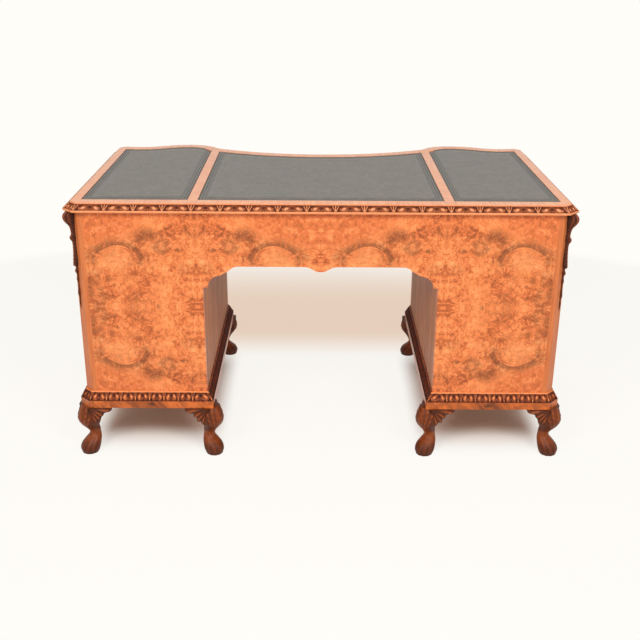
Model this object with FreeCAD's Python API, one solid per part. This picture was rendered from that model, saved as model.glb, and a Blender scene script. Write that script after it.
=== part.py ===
"""Kneehole desk with a serpentine drawer side, a finished back, leather writing top and cabriole legs.

Units are millimetres and +Z is up. The desk is drawn with the finished back face of its body on Y = 0, the
drawers facing +Y and the kneehole centred on X = 0. Every piece is then moved so that the origin lies on the
floor under the middle of the whole desk.
"""

import FreeCAD, Part
import math
import os

from BOPTools import SplitAPI
from FreeCAD import Placement, Rotation, Vector

# Overall plan, depths measured from the finished back face of the body
DESK_HEIGHT = 770.0
BODY_HALF_WIDTH = 692.0
KNEEHOLE_HALF_WIDTH = 333.0
HOLLOW_DEPTH = 770.5
SWELL_RISE = 44.0
CENTRE_RADIUS = 720.0
CREASE_STEP = 31.66
NOSE_ANGLE = 52.0
CORNER_CANT = 20.0

# Drawer side of a pedestal, as shares of the pedestal's width
SWELL_PLACE = 0.312
HOLLOW_PLACE = 0.805
NOSE_SHARE = 0.273

# Share of the swell in the two radii that make the wave
SWELL_SHARE = 0.603

# Writing top
TOP_BOARD_THICKNESS = 19.0
BORDER_THICKNESS = 4.0
LEATHER_THICKNESS = 3.5
LEATHER_FIT = 0.2
FRONT_BORDER = 39.0
BACK_BORDER = 39.0
END_BORDER = 26.0
BAR_WIDTH = 28.0
BAR_INSET = 24.0
EDGE_REACH = 20.5
EDGE_FILLET_HEIGHT = 6.0
EDGE_TOP_STEP = 2.0
EDGE_TOP_REACH = 1.5

# Base of each pedestal
LEG_HEIGHT = 155.0
BAND_HEIGHT = 22.0
BAND_REACH = 18.6
BAND_FRAME_WIDTH = 50.0
BASE_MOULDING_HEIGHT = 26.0
BASE_FILLET_HEIGHT = 3.0
BASE_TOP_REACH = 4.0

# Carcass
PANEL_THICKNESS = 18.0
POST_WIDTH = 34.0
STILE_WIDTH = 36.0
RAIL_WIDTH = 50.0
RAIL_HEIGHT = 14.0
TOP_RAIL_HEIGHT = 12.0
BOTTOM_RAIL_HEIGHT = 32.0
FLOOR_THICKNESS = 16.0
RUNNER_REACH = 40.0
GUIDE_HEIGHT = 18.0

# Arch over the kneehole in the back
ARCH_CLEAR = 14.0
ARCH_RISE = 62.0
ARCH_LIP = 13.0
ARCH_ROUND = 35.0
ARCH_SLOPE_RUN = 28.0
ARCH_SLOPE_RISE = 16.0
ARCH_EASE_RUN = 24.0
ARCH_EASE_RUN_SHARE = 0.45
ARCH_EASE_RISE_SHARE = 0.75
PENDANT_HALF_WIDTH = 47.0
PENDANT_DROP = 15.0

# Drawers, the upper and lower ones as shares of the height that all three have
UPPER_DRAWER_SHARE = 0.237
LOWER_DRAWER_SHARE = 0.4116
FRONT_THICKNESS = 22.0
FRONT_GAP = 1.0
DRAWER_BACK_ROOM = 60.0
DRAWER_SIDE = 12.0
DRAWER_BOTTOM = 6.0
DRAWER_BOTTOM_RAISE = 7.0
SIDE_CLEARANCE = 0.6
RUN_CLEARANCE = 0.3
SIDE_DROP = 10.0
SIDE_INSET = 4.0

# Brass furniture
HANDLE_SPREAD = 32.0
CENTRE_HANDLE_X = 190.0
PIVOT_REACH = 15.0
ROSETTE_RADIUS = 10.0
ROSETTE_HEIGHT = 5.0
SEAT_DEPTH = 1.5
NECK_RADIUS = 3.6
EYE_RADIUS = 5.8
SHANK_RADIUS = 2.4
NUT_RADIUS = 5.0
NUT_HEIGHT = 4.0
BAIL_RADIUS = 2.5
PIVOT_CLEARANCE = 0.35
BAIL_OVERHANG = 14.0
BAIL_DROP = 34.0
BAIL_SHOULDER = 7.0
BAIL_BEND = 16.0
HANDLE_RISE = BAIL_DROP / 3
KEYPLATE_RADIUS = 8.0
KEYPLATE_HEIGHT = 3.0
KEYPLATE_DROP = 20.0
KEYHOLE_RADIUS = 2.2
KEYHOLE_SLOT = 7.0
LOCK_WIDTH = 52.0
LOCK_HEIGHT = 34.0
LOCK_DEPTH = 12.0

# Cabriole legs: height share, set-back from the corner, radius
LEG_SECTIONS = (
    (1.00, -19.0, 27.0),
    (0.89, -17.0, 32.5),
    (0.76, -14.5, 35.0),
    (0.66, -16.0, 33.0),
    (0.56, -19.5, 24.5),
    (0.48, -26.0, 19.5),
    (0.40, -30.0, 16.5),
    (0.34, -29.0, 18.5),
    (0.27, -22.5, 24.0),
    (0.19, -14.5, 28.5),
    (0.11, -10.0, 29.5),
    (0.04, -8.5, 27.0),
    (0.00, -8.0, 24.0),
)
OUTER_LEG_SHIFT = 4.7
INNER_BACK_LEG_SHIFT = 2.8
INNER_BACK_LEG_SET_IN = 11.0
INNER_FRONT_LEG_SHIFT = 8.0
EAR_START = 23.0
EAR_REACH = 90.0
EAR_TIP = 11.0
EAR_MIDDLE_REACH = 62.0
EAR_MIDDLE_DROP = 26.0
EAR_DROP = 50.0
EAR_ROOT_REACH = 40.0
EAR_BOW = 3.0
EAR_FACE = 12.0
EAR_THICKNESS = 26.0

# Carved drops on the canted corners
CARVING_LENGTH = 291.0
CARVING_HALF_WIDTH = 9.0
CARVING_SHIFT = 5.0
CARVING_SHOULDER = 0.35
CARVING_PROFILE = (
    (0.000, 24.0, 1.00),
    (0.030, 33.0, 1.00),
    (0.062, 34.0, 1.00),
    (0.100, 29.0, 0.90),
    (0.150, 16.0, 0.70),
    (0.200, 13.0, 0.62),
    (0.265, 17.0, 0.72),
    (0.310, 11.0, 0.55),
    (0.400, 10.0, 0.62),
    (0.540, 13.0, 0.70),
    (0.565, 7.0, 0.46),
    (0.610, 10.0, 0.52),
    (0.690, 6.0, 0.36),
    (0.840, 6.5, 0.34),
    (0.930, 3.0, 0.20),
    (1.000, 1.0, 0.08),
)

# Heights worked out from the driving sizes
TOP_UNDERSIDE = DESK_HEIGHT - BORDER_THICKNESS - TOP_BOARD_THICKNESS
BOARD_TOP = DESK_HEIGHT - BORDER_THICKNESS
BAND_TOP = LEG_HEIGHT + BAND_HEIGHT
MOULDING_TOP = BAND_TOP + BASE_MOULDING_HEIGHT
LOWEST_DRAWER = BAND_TOP + BOTTOM_RAIL_HEIGHT
HIGHEST_DRAWER = TOP_UNDERSIDE - TOP_RAIL_HEIGHT
DRAWER_ROOM = HIGHEST_DRAWER - LOWEST_DRAWER - 2 * RAIL_HEIGHT
UPPER_DRAWER = HIGHEST_DRAWER - UPPER_DRAWER_SHARE * DRAWER_ROOM
LOWER_DRAWER_TOP = LOWEST_DRAWER + LOWER_DRAWER_SHARE * DRAWER_ROOM
MIDDLE_DRAWER = LOWER_DRAWER_TOP + RAIL_HEIGHT
MIDDLE_DRAWER_TOP = UPPER_DRAWER - RAIL_HEIGHT
ARCH_FLAT_HEIGHT = MIDDLE_DRAWER_TOP - ARCH_CLEAR
ARCH_SPRING_HEIGHT = ARCH_FLAT_HEIGHT - ARCH_RISE

# Plan points worked out from the driving sizes
PEDESTAL_WIDTH = BODY_HALF_WIDTH - KNEEHOLE_HALF_WIDTH
SWELL_X = KNEEHOLE_HALF_WIDTH + SWELL_PLACE * PEDESTAL_WIDTH
HOLLOW_X = KNEEHOLE_HALF_WIDTH + HOLLOW_PLACE * PEDESTAL_WIDTH
SWELL_DEPTH = HOLLOW_DEPTH + SWELL_RISE
WAVE_RUN = HOLLOW_X - SWELL_X
WAVE_RADII = (WAVE_RUN**2 + SWELL_RISE**2) / (2 * SWELL_RISE)
SWELL_RADIUS = SWELL_SHARE * WAVE_RADII
HOLLOW_RADIUS = WAVE_RADII - SWELL_RADIUS
NOSE_RADIUS = NOSE_SHARE * PEDESTAL_WIDTH
NOSE_CENTRE = Vector(SWELL_X, SWELL_DEPTH - NOSE_RADIUS, 0)
SWELL_CENTRE = Vector(SWELL_X, SWELL_DEPTH - SWELL_RADIUS, 0)
HOLLOW_CENTRE = Vector(HOLLOW_X, HOLLOW_DEPTH + HOLLOW_RADIUS, 0)
NOSE_RUN = Vector(math.cos(math.radians(NOSE_ANGLE)), math.sin(math.radians(NOSE_ANGLE)), 0)
NOSE_OUT = Vector(-NOSE_RUN.y, NOSE_RUN.x, 0)
CREASE = NOSE_CENTRE + NOSE_OUT * NOSE_RADIUS - NOSE_RUN * CREASE_STEP
CENTRE_DEPTH = CREASE.y - CENTRE_RADIUS + math.sqrt(CENTRE_RADIUS**2 - CREASE.x**2)
CENTRE_OF_HOLLOW = Vector(0, CENTRE_DEPTH + CENTRE_RADIUS, 0)
BAR_X = KNEEHOLE_HALF_WIDTH + BAR_INSET
CANT_X = BODY_HALF_WIDTH - CORNER_CANT
CANT_EASE = math.tan(math.radians(22.5))
STILE_X = KNEEHOLE_HALF_WIDTH + STILE_WIDTH
POST_X = BODY_HALF_WIDTH - POST_WIDTH
PANEL_X = KNEEHOLE_HALF_WIDTH + PANEL_THICKNESS
END_X = BODY_HALF_WIDTH - PANEL_THICKNESS
FAR = 2 * BODY_HALF_WIDTH


# Plan outlines


def hollow_depth(x, offset):
    """Depth of the hollow by the end of the drawer side."""
    return HOLLOW_CENTRE.y - math.sqrt((HOLLOW_RADIUS - offset) ** 2 - (x - HOLLOW_X) ** 2)


def centre_depth(x, offset):
    """Depth of the hollow over the kneehole."""
    return CENTRE_OF_HOLLOW.y - math.sqrt((CENTRE_RADIUS - offset) ** 2 - x**2)


def swell_depth(x, offset):
    """Depth of the swell in front of a pedestal."""
    return SWELL_CENTRE.y + math.sqrt((SWELL_RADIUS + offset) ** 2 - (x - SWELL_X) ** 2)


def line(start, end):
    """Straight edge between two points."""
    return Part.makeLine(start, end)


def arc(centre, radius, start, end):
    """Arc of under half a turn about a centre."""
    middle = (start - centre) + (end - centre)
    middle.normalize()
    return Part.Arc(start, centre + middle * radius, end).toShape()


def front_corner(offset):
    """Two ends of the canted corner between the drawer side and the end."""
    total = CANT_X + hollow_depth(CANT_X, 0) + math.sqrt(2) * offset
    rest = HOLLOW_CENTRE.x + HOLLOW_CENTRE.y - total
    radius = HOLLOW_RADIUS - offset
    run = (math.sqrt(2 * radius**2 - rest**2) - rest) / 2
    end_x = BODY_HALF_WIDTH + offset
    inner = Vector(HOLLOW_X + run, total - HOLLOW_X - run, 0)
    return inner, Vector(end_x, total - end_x, 0)


def wave_points(offset):
    """Points along the drawer side of the right pedestal, from its end to the start of its nose."""
    inner, outer = front_corner(offset)
    across = HOLLOW_CENTRE - SWELL_CENTRE
    across.normalize()
    turn = SWELL_CENTRE + across * (SWELL_RADIUS + offset)
    peak = Vector(SWELL_X, SWELL_DEPTH + offset, 0)
    nose = NOSE_CENTRE + NOSE_OUT * (NOSE_RADIUS + offset)
    return outer, inner, turn, peak, nose


def wave_edges(offset):
    """Edges along the drawer side of the right pedestal, from its end to the start of its nose."""
    outer, inner, turn, peak, nose = wave_points(offset)
    return [
        line(outer, inner),
        arc(HOLLOW_CENTRE, HOLLOW_RADIUS - offset, inner, turn),
        arc(SWELL_CENTRE, SWELL_RADIUS + offset, turn, peak),
        arc(NOSE_CENTRE, NOSE_RADIUS + offset, peak, nose),
    ]


def back_corner(offset):
    """Two ends of the canted corner between the back and the end."""
    back = Vector(CANT_X + CANT_EASE * offset, -offset, 0)
    return back, Vector(BODY_HALF_WIDTH + offset, CORNER_CANT - CANT_EASE * offset, 0)


def kneehole_corners(offset):
    """Corners of the right pedestal beside the kneehole, at the drawer side and at the back."""
    x = KNEEHOLE_HALF_WIDTH - offset
    nose = wave_points(offset)[-1]
    front = nose - NOSE_RUN * ((nose.x - x) / NOSE_RUN.x)
    return front, Vector(x, -offset, 0)


def crease(offset):
    """Point where the hollow over the kneehole meets the right pedestal."""
    nose = wave_points(offset)[-1]
    reach = nose - CENTRE_OF_HOLLOW
    along = reach.dot(NOSE_RUN)
    step = along + math.sqrt(along**2 - reach.dot(reach) + (CENTRE_RADIUS - offset) ** 2)
    return nose - NOSE_RUN * step


def pedestal_outline(offset, height):
    """Closed outline of the right pedestal, moved out by an offset."""
    back, end = back_corner(offset)
    points = wave_points(offset)
    inner_front, inner_back = kneehole_corners(offset)
    edges = [line(inner_back, back), line(back, end), line(end, points[0])]
    edges += wave_edges(offset)
    edges += [line(points[-1], inner_front), line(inner_front, inner_back)]
    wire = Part.Wire(edges)
    wire.translate(Vector(0, 0, height))
    return wire


def mirrored(shape):
    """Copy of a shape on the other side of the kneehole."""
    return shape.mirror(Vector(0, 0, 0), Vector(1, 0, 0))


def top_outline(offset, height):
    """Closed outline of the whole desk at its top, moved out by an offset."""
    back, end = back_corner(offset)
    points = wave_points(offset)
    fold = crease(offset)
    half = [line(Vector(0, -offset, 0), back), line(back, end), line(end, points[0])]
    half += wave_edges(offset)
    half.append(line(points[-1], fold))
    half.append(arc(CENTRE_OF_HOLLOW, CENTRE_RADIUS - offset, fold, Vector(0, CENTRE_DEPTH + offset, 0)))
    edges = Part.__sortEdges__(half + [mirrored(edge) for edge in half])
    wire = Part.Wire(edges)
    wire.translate(Vector(0, 0, height))
    return wire


def prism(outline, offset, low, high):
    """Upright solid on an outline."""
    return Part.Face(outline(offset, low)).extrude(Vector(0, 0, high - low))


def box(x0, x1, y0, y1, z0, z1):
    """Box between two corners."""
    return Part.makeBox(x1 - x0, y1 - y0, z1 - z0, Vector(x0, y0, z0))


def front_outline(offset, height):
    """Closed outline of all that lies behind the curve of the drawer side, wider than the desk."""
    _, _, turn, peak, nose = wave_points(offset)
    fold = crease(offset)
    end = Vector(BODY_HALF_WIDTH, hollow_depth(BODY_HALF_WIDTH, offset), 0)
    wide = Vector(FAR, end.y, 0)
    half = [
        line(Vector(0, -FAR, 0), Vector(FAR, -FAR, 0)),
        line(Vector(FAR, -FAR, 0), wide),
        line(wide, end),
        arc(HOLLOW_CENTRE, HOLLOW_RADIUS - offset, end, turn),
        arc(SWELL_CENTRE, SWELL_RADIUS + offset, turn, peak),
        arc(NOSE_CENTRE, NOSE_RADIUS + offset, peak, nose),
        line(nose, fold),
        arc(CENTRE_OF_HOLLOW, CENTRE_RADIUS - offset, fold, Vector(0, CENTRE_DEPTH + offset, 0)),
    ]
    edges = Part.__sortEdges__(half + [mirrored(edge) for edge in half])
    wire = Part.Wire(edges)
    wire.translate(Vector(0, 0, height))
    return wire


def front_strip(depth, x0, x1, z0, z1):
    """Curved board along the drawer side, cut off square at its ends."""
    strip = box(x0, x1, CENTRE_DEPTH / 2, FAR, z0, z1).common(prism(front_outline, 0, z0, z1))
    return strip.cut(prism(front_outline, -depth, z0, z1))


def behind_front(depth, x0, x1, y0, z0, z1):
    """Board whose front end follows the back of a curved board."""
    return box(x0, x1, y0, FAR, z0, z1).common(prism(front_outline, -depth, z0, z1))


def side_name(side):
    """Word for one side of the desk, seen from its finished back."""
    return "right" if side > 0 else "left"


def on_side(shape, side):
    """Shape drawn for the right, put on the side asked for."""
    return shape if side > 0 else mirrored(shape)


# Mouldings


def mitre_plane(point, outer_point, low, high):
    """Upright face through a corner of the inner outline and the same corner of the outer one."""
    run = outer_point - point
    start = point - run
    end = outer_point + run
    face = Part.Face(Part.makePolygon([
        Vector(start.x, start.y, low),
        Vector(end.x, end.y, low),
        Vector(end.x, end.y, high),
        Vector(start.x, start.y, high),
        Vector(start.x, start.y, low),
    ]))
    return face


def mitred_moulding(outline, steps, corners):
    """Moulding planted round an outline, in lengths mitred at the corners."""
    low = steps[0][1]
    high = steps[-1][1]
    solid = Part.makeLoft([outline(reach, height) for reach, height in steps], True, True)
    ring = solid.cut(prism(outline, 0, low, high))
    reach = max(step[0] for step in steps)
    inner = corners(0)
    outer = corners(reach)
    cuts = [mitre_plane(inner[i], outer[i], low - 1, high + 1) for i in range(len(inner))]
    return Part.makeCompound(SplitAPI.slice(ring, cuts, "Split").Solids)


def pedestal_corners(offset):
    """Mitred corners round the base of the right pedestal."""
    inner_front, inner_back = kneehole_corners(offset)
    inner, outer = front_corner(offset)
    return [inner_back, *back_corner(offset), outer, inner, inner_front]


def top_corners(offset):
    """Mitred corners round the top."""
    inner, outer = front_corner(offset)
    right = [*back_corner(offset), outer, inner, crease(offset)]
    return right + [Vector(-point.x, point.y, 0) for point in right]


def top_moulding():
    """Carved edge moulding: a plain fillet below and a face that slopes in to the top."""
    fillet = TOP_UNDERSIDE + EDGE_FILLET_HEIGHT
    high = DESK_HEIGHT - EDGE_TOP_STEP
    steps = ((EDGE_REACH, TOP_UNDERSIDE), (EDGE_REACH, fillet), (EDGE_TOP_REACH, high))
    return mitred_moulding(top_outline, steps, top_corners)


def base_moulding():
    """Carved moulding between a pedestal and its base band."""
    high = MOULDING_TOP - BASE_FILLET_HEIGHT
    steps = ((BAND_REACH, BAND_TOP), (BASE_TOP_REACH, high), (BASE_TOP_REACH, MOULDING_TOP))
    return mitred_moulding(pedestal_outline, steps, pedestal_corners)


# Writing top


def top_board():
    """Core board under the border and the leathers."""
    return prism(top_outline, 0, TOP_UNDERSIDE, BOARD_TOP)


def leather_field(x0, x1, inset, low, high):
    """Field of the top inside its border, between two upright planes."""
    return behind_front(FRONT_BORDER + inset, x0 + inset, x1 - inset, BACK_BORDER + inset, low, high)


def leather_spans():
    """Left and right limits of the three leathers."""
    bar = BAR_WIDTH / 2
    end = BODY_HALF_WIDTH - END_BORDER
    return {"left": (-end, -BAR_X - bar), "centre": (-BAR_X + bar, BAR_X - bar), "right": (BAR_X + bar, end)}


def top_border():
    """Crossbanded border with its two dividing bars."""
    border = prism(top_outline, 0, BOARD_TOP, DESK_HEIGHT)
    for x0, x1 in leather_spans().values():
        border = border.cut(leather_field(x0, x1, 0, BOARD_TOP, DESK_HEIGHT))
    return border


def leather(span):
    """One leather let into the top."""
    return leather_field(*span, LEATHER_FIT, BOARD_TOP, BOARD_TOP + LEATHER_THICKNESS)


# Carcass


def arch_edges():
    """Right half of the arch, from the kneehole side to the middle of the pendant."""
    lip = KNEEHOLE_HALF_WIDTH - ARCH_LIP
    shoulder = lip - ARCH_ROUND
    slope = shoulder - ARCH_SLOPE_RUN
    flat = slope - ARCH_EASE_RUN
    ease_low = ARCH_SPRING_HEIGHT + ARCH_ROUND + ARCH_SLOPE_RISE
    ease_high = ease_low + (ARCH_FLAT_HEIGHT - ease_low) * ARCH_EASE_RISE_SHARE
    ease_middle = Vector(slope - ARCH_EASE_RUN * ARCH_EASE_RUN_SHARE, 0, ease_high)
    quarter = PENDANT_HALF_WIDTH / 4
    bend = PENDANT_DROP / 8
    places = [
        Vector(KNEEHOLE_HALF_WIDTH, 0, ARCH_SPRING_HEIGHT),
        Vector(lip, 0, ARCH_SPRING_HEIGHT),
        Vector(shoulder, 0, ARCH_SPRING_HEIGHT + ARCH_ROUND),
        Vector(slope, 0, ease_low),
        Vector(flat, 0, ARCH_FLAT_HEIGHT),
        Vector(PENDANT_HALF_WIDTH, 0, ARCH_FLAT_HEIGHT),
        Vector(PENDANT_HALF_WIDTH / 2, 0, ARCH_FLAT_HEIGHT - PENDANT_DROP / 2),
        Vector(0, 0, ARCH_FLAT_HEIGHT - PENDANT_DROP),
    ]
    round_centre = Vector(shoulder, 0, ARCH_SPRING_HEIGHT)
    flare = Vector(3 * quarter, 0, ARCH_FLAT_HEIGHT - bend)
    tip = Vector(quarter, 0, ARCH_FLAT_HEIGHT - PENDANT_DROP + bend)
    return [
        line(places[0], places[1]),
        arc(round_centre, ARCH_ROUND, places[1], places[2]),
        line(places[2], places[3]),
        Part.Arc(places[3], ease_middle, places[4]).toShape(),
        line(places[4], places[5]),
        Part.Arc(places[5], flare, places[6]).toShape(),
        Part.Arc(places[6], tip, places[7]).toShape(),
    ]


def back_panel():
    """Finished back between the corner posts, arched over the kneehole."""
    corners = [
        Vector(KNEEHOLE_HALF_WIDTH, 0, ARCH_SPRING_HEIGHT),
        Vector(KNEEHOLE_HALF_WIDTH, 0, BAND_TOP),
        Vector(POST_X, 0, BAND_TOP),
        Vector(POST_X, 0, TOP_UNDERSIDE),
        Vector(0, 0, TOP_UNDERSIDE),
    ]
    half = arch_edges() + [line(corners[i], corners[i + 1]) for i in range(len(corners) - 1)]
    edges = Part.__sortEdges__(half + [mirrored(edge) for edge in half])
    return Part.Face(Part.Wire(edges)).extrude(Vector(0, PANEL_THICKNESS, 0))


def stile_back():
    """Depth of the back of the stile beside the kneehole."""
    return centre_depth(STILE_X, -RAIL_WIDTH)


def post_back():
    """Depth of the back of the outer front post."""
    return hollow_depth(END_X, -RAIL_WIDTH)


def kneehole_panel():
    """Panel on the kneehole side of the right pedestal."""
    return box(KNEEHOLE_HALF_WIDTH, PANEL_X, PANEL_THICKNESS, stile_back(), BAND_TOP, TOP_UNDERSIDE)


def end_panel():
    """Panel on the outer end of the right pedestal."""
    return box(END_X, BODY_HALF_WIDTH, POST_WIDTH, post_back(), BAND_TOP, TOP_UNDERSIDE)


def corner_posts():
    """Back post, outer front post and kneehole stile of the right pedestal."""
    body = prism(pedestal_outline, 0, BAND_TOP, TOP_UNDERSIDE)
    back = body.common(box(POST_X, FAR, 0, POST_WIDTH, BAND_TOP, TOP_UNDERSIDE))
    front = body.common(box(POST_X, FAR, post_back(), FAR, BAND_TOP, TOP_UNDERSIDE))
    low = UPPER_DRAWER - RAIL_HEIGHT
    stile = body.common(box(KNEEHOLE_HALF_WIDTH, STILE_X, stile_back(), FAR, BAND_TOP, low))
    head = prism(top_outline, 0, low, TOP_UNDERSIDE)
    head = head.common(box(KNEEHOLE_HALF_WIDTH, STILE_X, stile_back(), FAR, low, TOP_UNDERSIDE))
    return Part.makeCompound([back, front, stile.fuse(head)])


def rail_levels():
    """Lower and upper faces of the rails in a pedestal, from the lowest."""
    return (
        (BAND_TOP, LOWEST_DRAWER),
        (LOWER_DRAWER_TOP, MIDDLE_DRAWER),
        (MIDDLE_DRAWER_TOP, UPPER_DRAWER),
        (HIGHEST_DRAWER, TOP_UNDERSIDE),
    )


def drawer_rails():
    """Rails between the drawers of the right pedestal."""
    rails = [front_strip(RAIL_WIDTH, STILE_X, POST_X, low, high) for low, high in rail_levels()]
    return Part.makeCompound(rails)


def centre_rails():
    """Rails over and under the middle drawer, and the board that it runs on."""
    half = KNEEHOLE_HALF_WIDTH
    rails = [front_strip(RAIL_WIDTH, -half, half, low, high) for low, high in rail_levels()[2:]]
    low, high = rail_levels()[2]
    rails.append(behind_front(RAIL_WIDTH, -half, half, PANEL_THICKNESS, low, high))
    return Part.makeCompound(rails)


def pedestal_floor():
    """Floor board of the right pedestal."""
    return behind_front(RAIL_WIDTH, PANEL_X, END_X, POST_WIDTH, BAND_TOP, BAND_TOP + FLOOR_THICKNESS)


def drawer_runners():
    """Runners under the drawers of the right pedestal, each with the guide that keeps its drawer straight."""
    levels = [(BAND_TOP + FLOOR_THICKNESS, LOWEST_DRAWER), rail_levels()[1], rail_levels()[2]]
    inner_guide = STILE_X + SIDE_INSET - SIDE_CLEARANCE
    outer_guide = POST_X - SIDE_INSET + SIDE_CLEARANCE
    spans = ((PANEL_X, PANEL_X + RUNNER_REACH, PANEL_X, inner_guide),
             (END_X - RUNNER_REACH, END_X, outer_guide, END_X))
    runners = []
    for low, high in levels:
        for x0, x1, guide0, guide1 in spans:
            runner = behind_front(RAIL_WIDTH, x0, x1, POST_WIDTH, low, high)
            guide = behind_front(RAIL_WIDTH, guide0, guide1, POST_WIDTH, high, high + GUIDE_HEIGHT)
            runners.append(runner.fuse(guide).removeSplitter())
    return runners


def base_band():
    """Band frame that a pedestal stands on."""
    frame = prism(pedestal_outline, BAND_REACH, LEG_HEIGHT, BAND_TOP)
    inner = behind_front(
        RAIL_WIDTH,
        KNEEHOLE_HALF_WIDTH + BAND_FRAME_WIDTH,
        BODY_HALF_WIDTH - BAND_FRAME_WIDTH,
        BAND_FRAME_WIDTH,
        LEG_HEIGHT,
        BAND_TOP,
    )
    return frame.cut(inner)


# Legs


def leg_places():
    """Corner of each leg of the right pedestal, its outward direction and the turns of its two ears."""
    inner_front, inner_back = kneehole_corners(BAND_REACH)
    nose = wave_points(BAND_REACH)[-1]
    front, front_end = front_corner(BAND_REACH)
    back, back_end = back_corner(BAND_REACH)
    diagonal = math.sqrt(0.5)
    outer_shift = Vector(OUTER_LEG_SHIFT, 0, 0)
    back_outer_corner = (back + back_end) * 0.5 + outer_shift
    front_outer_corner = (front + front_end) * 0.5 + outer_shift
    back_inner_corner = inner_back + Vector(-INNER_BACK_LEG_SHIFT, INNER_BACK_LEG_SET_IN, 0)
    front_inner_corner = (inner_front + nose) * 0.5 + NOSE_OUT * INNER_FRONT_LEG_SHIFT
    return {
        "back_outer": (back_outer_corner, Vector(diagonal, -diagonal, 0), (180, 90)),
        "back_inner": (back_inner_corner, Vector(-diagonal, -diagonal, 0), (0, 90)),
        "front_outer": (front_outer_corner, Vector(diagonal, diagonal, 0), (180, -90)),
        "front_inner": (front_inner_corner, NOSE_OUT, (0, -90)),
    }


def leg_post(corner, outward):
    """Cabriole leg: knee, ankle and rounded foot along its outward direction."""
    rings = []
    for share, reach, radius in LEG_SECTIONS:
        centre = corner + outward * reach
        circle = Part.makeCircle(radius, Vector(centre.x, centre.y, LEG_HEIGHT * share), Vector(0, 0, 1))
        rings.append(Part.Wire([circle]))
    return Part.makeLoft(rings, True, False)


def ear_slab():
    """Bracket outline that runs along +X from a leg under the band, as a slab across Y."""

    def place(reach, drop):
        return Vector(reach, -EAR_REACH, LEG_HEIGHT - drop)

    points = [
        place(EAR_START, 0),
        place(EAR_START, EAR_DROP),
        place(EAR_ROOT_REACH, EAR_DROP),
        place(EAR_MIDDLE_REACH, EAR_MIDDLE_DROP),
        place(EAR_REACH, EAR_TIP),
        place(EAR_REACH, 0),
    ]
    scoop = place(
        (EAR_MIDDLE_REACH + EAR_ROOT_REACH) / 2 - EAR_BOW,
        (EAR_MIDDLE_DROP + EAR_DROP) / 2 - EAR_BOW,
    )
    dip = place((EAR_REACH + EAR_MIDDLE_REACH) / 2 + EAR_BOW, (EAR_MIDDLE_DROP + EAR_TIP) / 2 + EAR_BOW)
    outline = Part.Wire([
        line(points[0], points[1]),
        line(points[1], points[2]),
        Part.Arc(points[2], scoop, points[3]).toShape(),
        Part.Arc(points[3], dip, points[4]).toShape(),
        line(points[4], points[5]),
        line(points[5], points[0]),
    ])
    return Part.Face(outline).extrude(Vector(0, 2 * EAR_REACH, 0))


def leg_ears(corner, outward, turns, post):
    """Two carved brackets that carry the line of the band down into a leg."""
    low = LEG_HEIGHT - EAR_DROP
    ring = prism(pedestal_outline, EAR_FACE, low, LEG_HEIGHT)
    ring = ring.cut(prism(pedestal_outline, EAR_FACE - EAR_THICKNESS, low, LEG_HEIGHT))
    middle = corner + outward * LEG_SECTIONS[0][1]
    ears = []
    for turn in turns:
        slab = ear_slab()
        slab.Placement = Placement(middle, Rotation(Vector(0, 0, 1), turn))
        ear = ring.common(slab).cut([post, *ears])
        ears.append(max(ear.Solids, key=lambda solid: solid.Volume))
    return ears


def leg(corner, outward, turns):
    """Leg with its two ears, as separate glued pieces."""
    post = leg_post(corner, outward)
    return Part.makeCompound([post, *leg_ears(corner, outward, turns, post)])


# Carved drops


def corner_carving(ends, outward):
    """Drop of a scroll and husks on a canted corner, seen as a stack of tapering leaves."""
    across = Vector(-outward.y, outward.x, 0)
    outer = max(ends, key=lambda end: end.x)
    middle = (ends[0] + ends[1]) * 0.5
    corner = middle + (outer - middle).normalize() * CARVING_SHIFT
    rings = []
    for share, reach, width in CARVING_PROFILE:
        half = CARVING_HALF_WIDTH * width
        base = Vector(corner.x, corner.y, TOP_UNDERSIDE - share * CARVING_LENGTH)
        shoulder = outward * max(reach * CARVING_SHOULDER, reach - half)
        feet = [base - across * half, base + across * half]
        crown = Part.Arc(feet[0] + shoulder, base + outward * reach, feet[1] + shoulder).toShape()
        sides = [line(feet[0], feet[0] + shoulder), line(feet[1] + shoulder, feet[1])]
        rings.append(Part.Wire([sides[0], crown, sides[1], line(feet[1], feet[0])]))
    return Part.makeLoft(rings, True, True)


def corner_carvings():
    """Carved drops on the two outer corners of the right pedestal."""
    diagonal = math.sqrt(0.5)
    return [
        corner_carving(back_corner(0), Vector(diagonal, -diagonal, 0)),
        corner_carving(front_corner(0), Vector(diagonal, diagonal, 0)),
    ]


# Drawers and their brass


def front_slope(x):
    """Point on the drawer side at x, its outward direction and how the face bends there."""
    side = -1 if x < 0 else 1
    if abs(x) < KNEEHOLE_HALF_WIDTH:
        point = Vector(x, centre_depth(x, 0), 0)
        outward = CENTRE_OF_HOLLOW - point
        bend = -1 / CENTRE_RADIUS
    else:
        point = Vector(x, swell_depth(abs(x), 0), 0)
        outward = point - Vector(side * SWELL_CENTRE.x, SWELL_CENTRE.y, 0)
        bend = 1 / SWELL_RADIUS
    outward.normalize()
    return point, outward, bend


def handle_frame(x, height):
    """Place whose X runs along the handle, Y points out of the drawer and Z is up."""
    point, outward, _ = front_slope(x)
    along = Vector(outward.y, -outward.x, 0)
    turn = Rotation(along, outward, Vector(0, 0, 1), "XYZ")
    return Placement(Vector(point.x, point.y, height), turn)


def placed(shape, frame):
    """Shape drawn about a handle's own axes, put on its drawer."""
    return shape.transformGeometry(frame.toMatrix())


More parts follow.
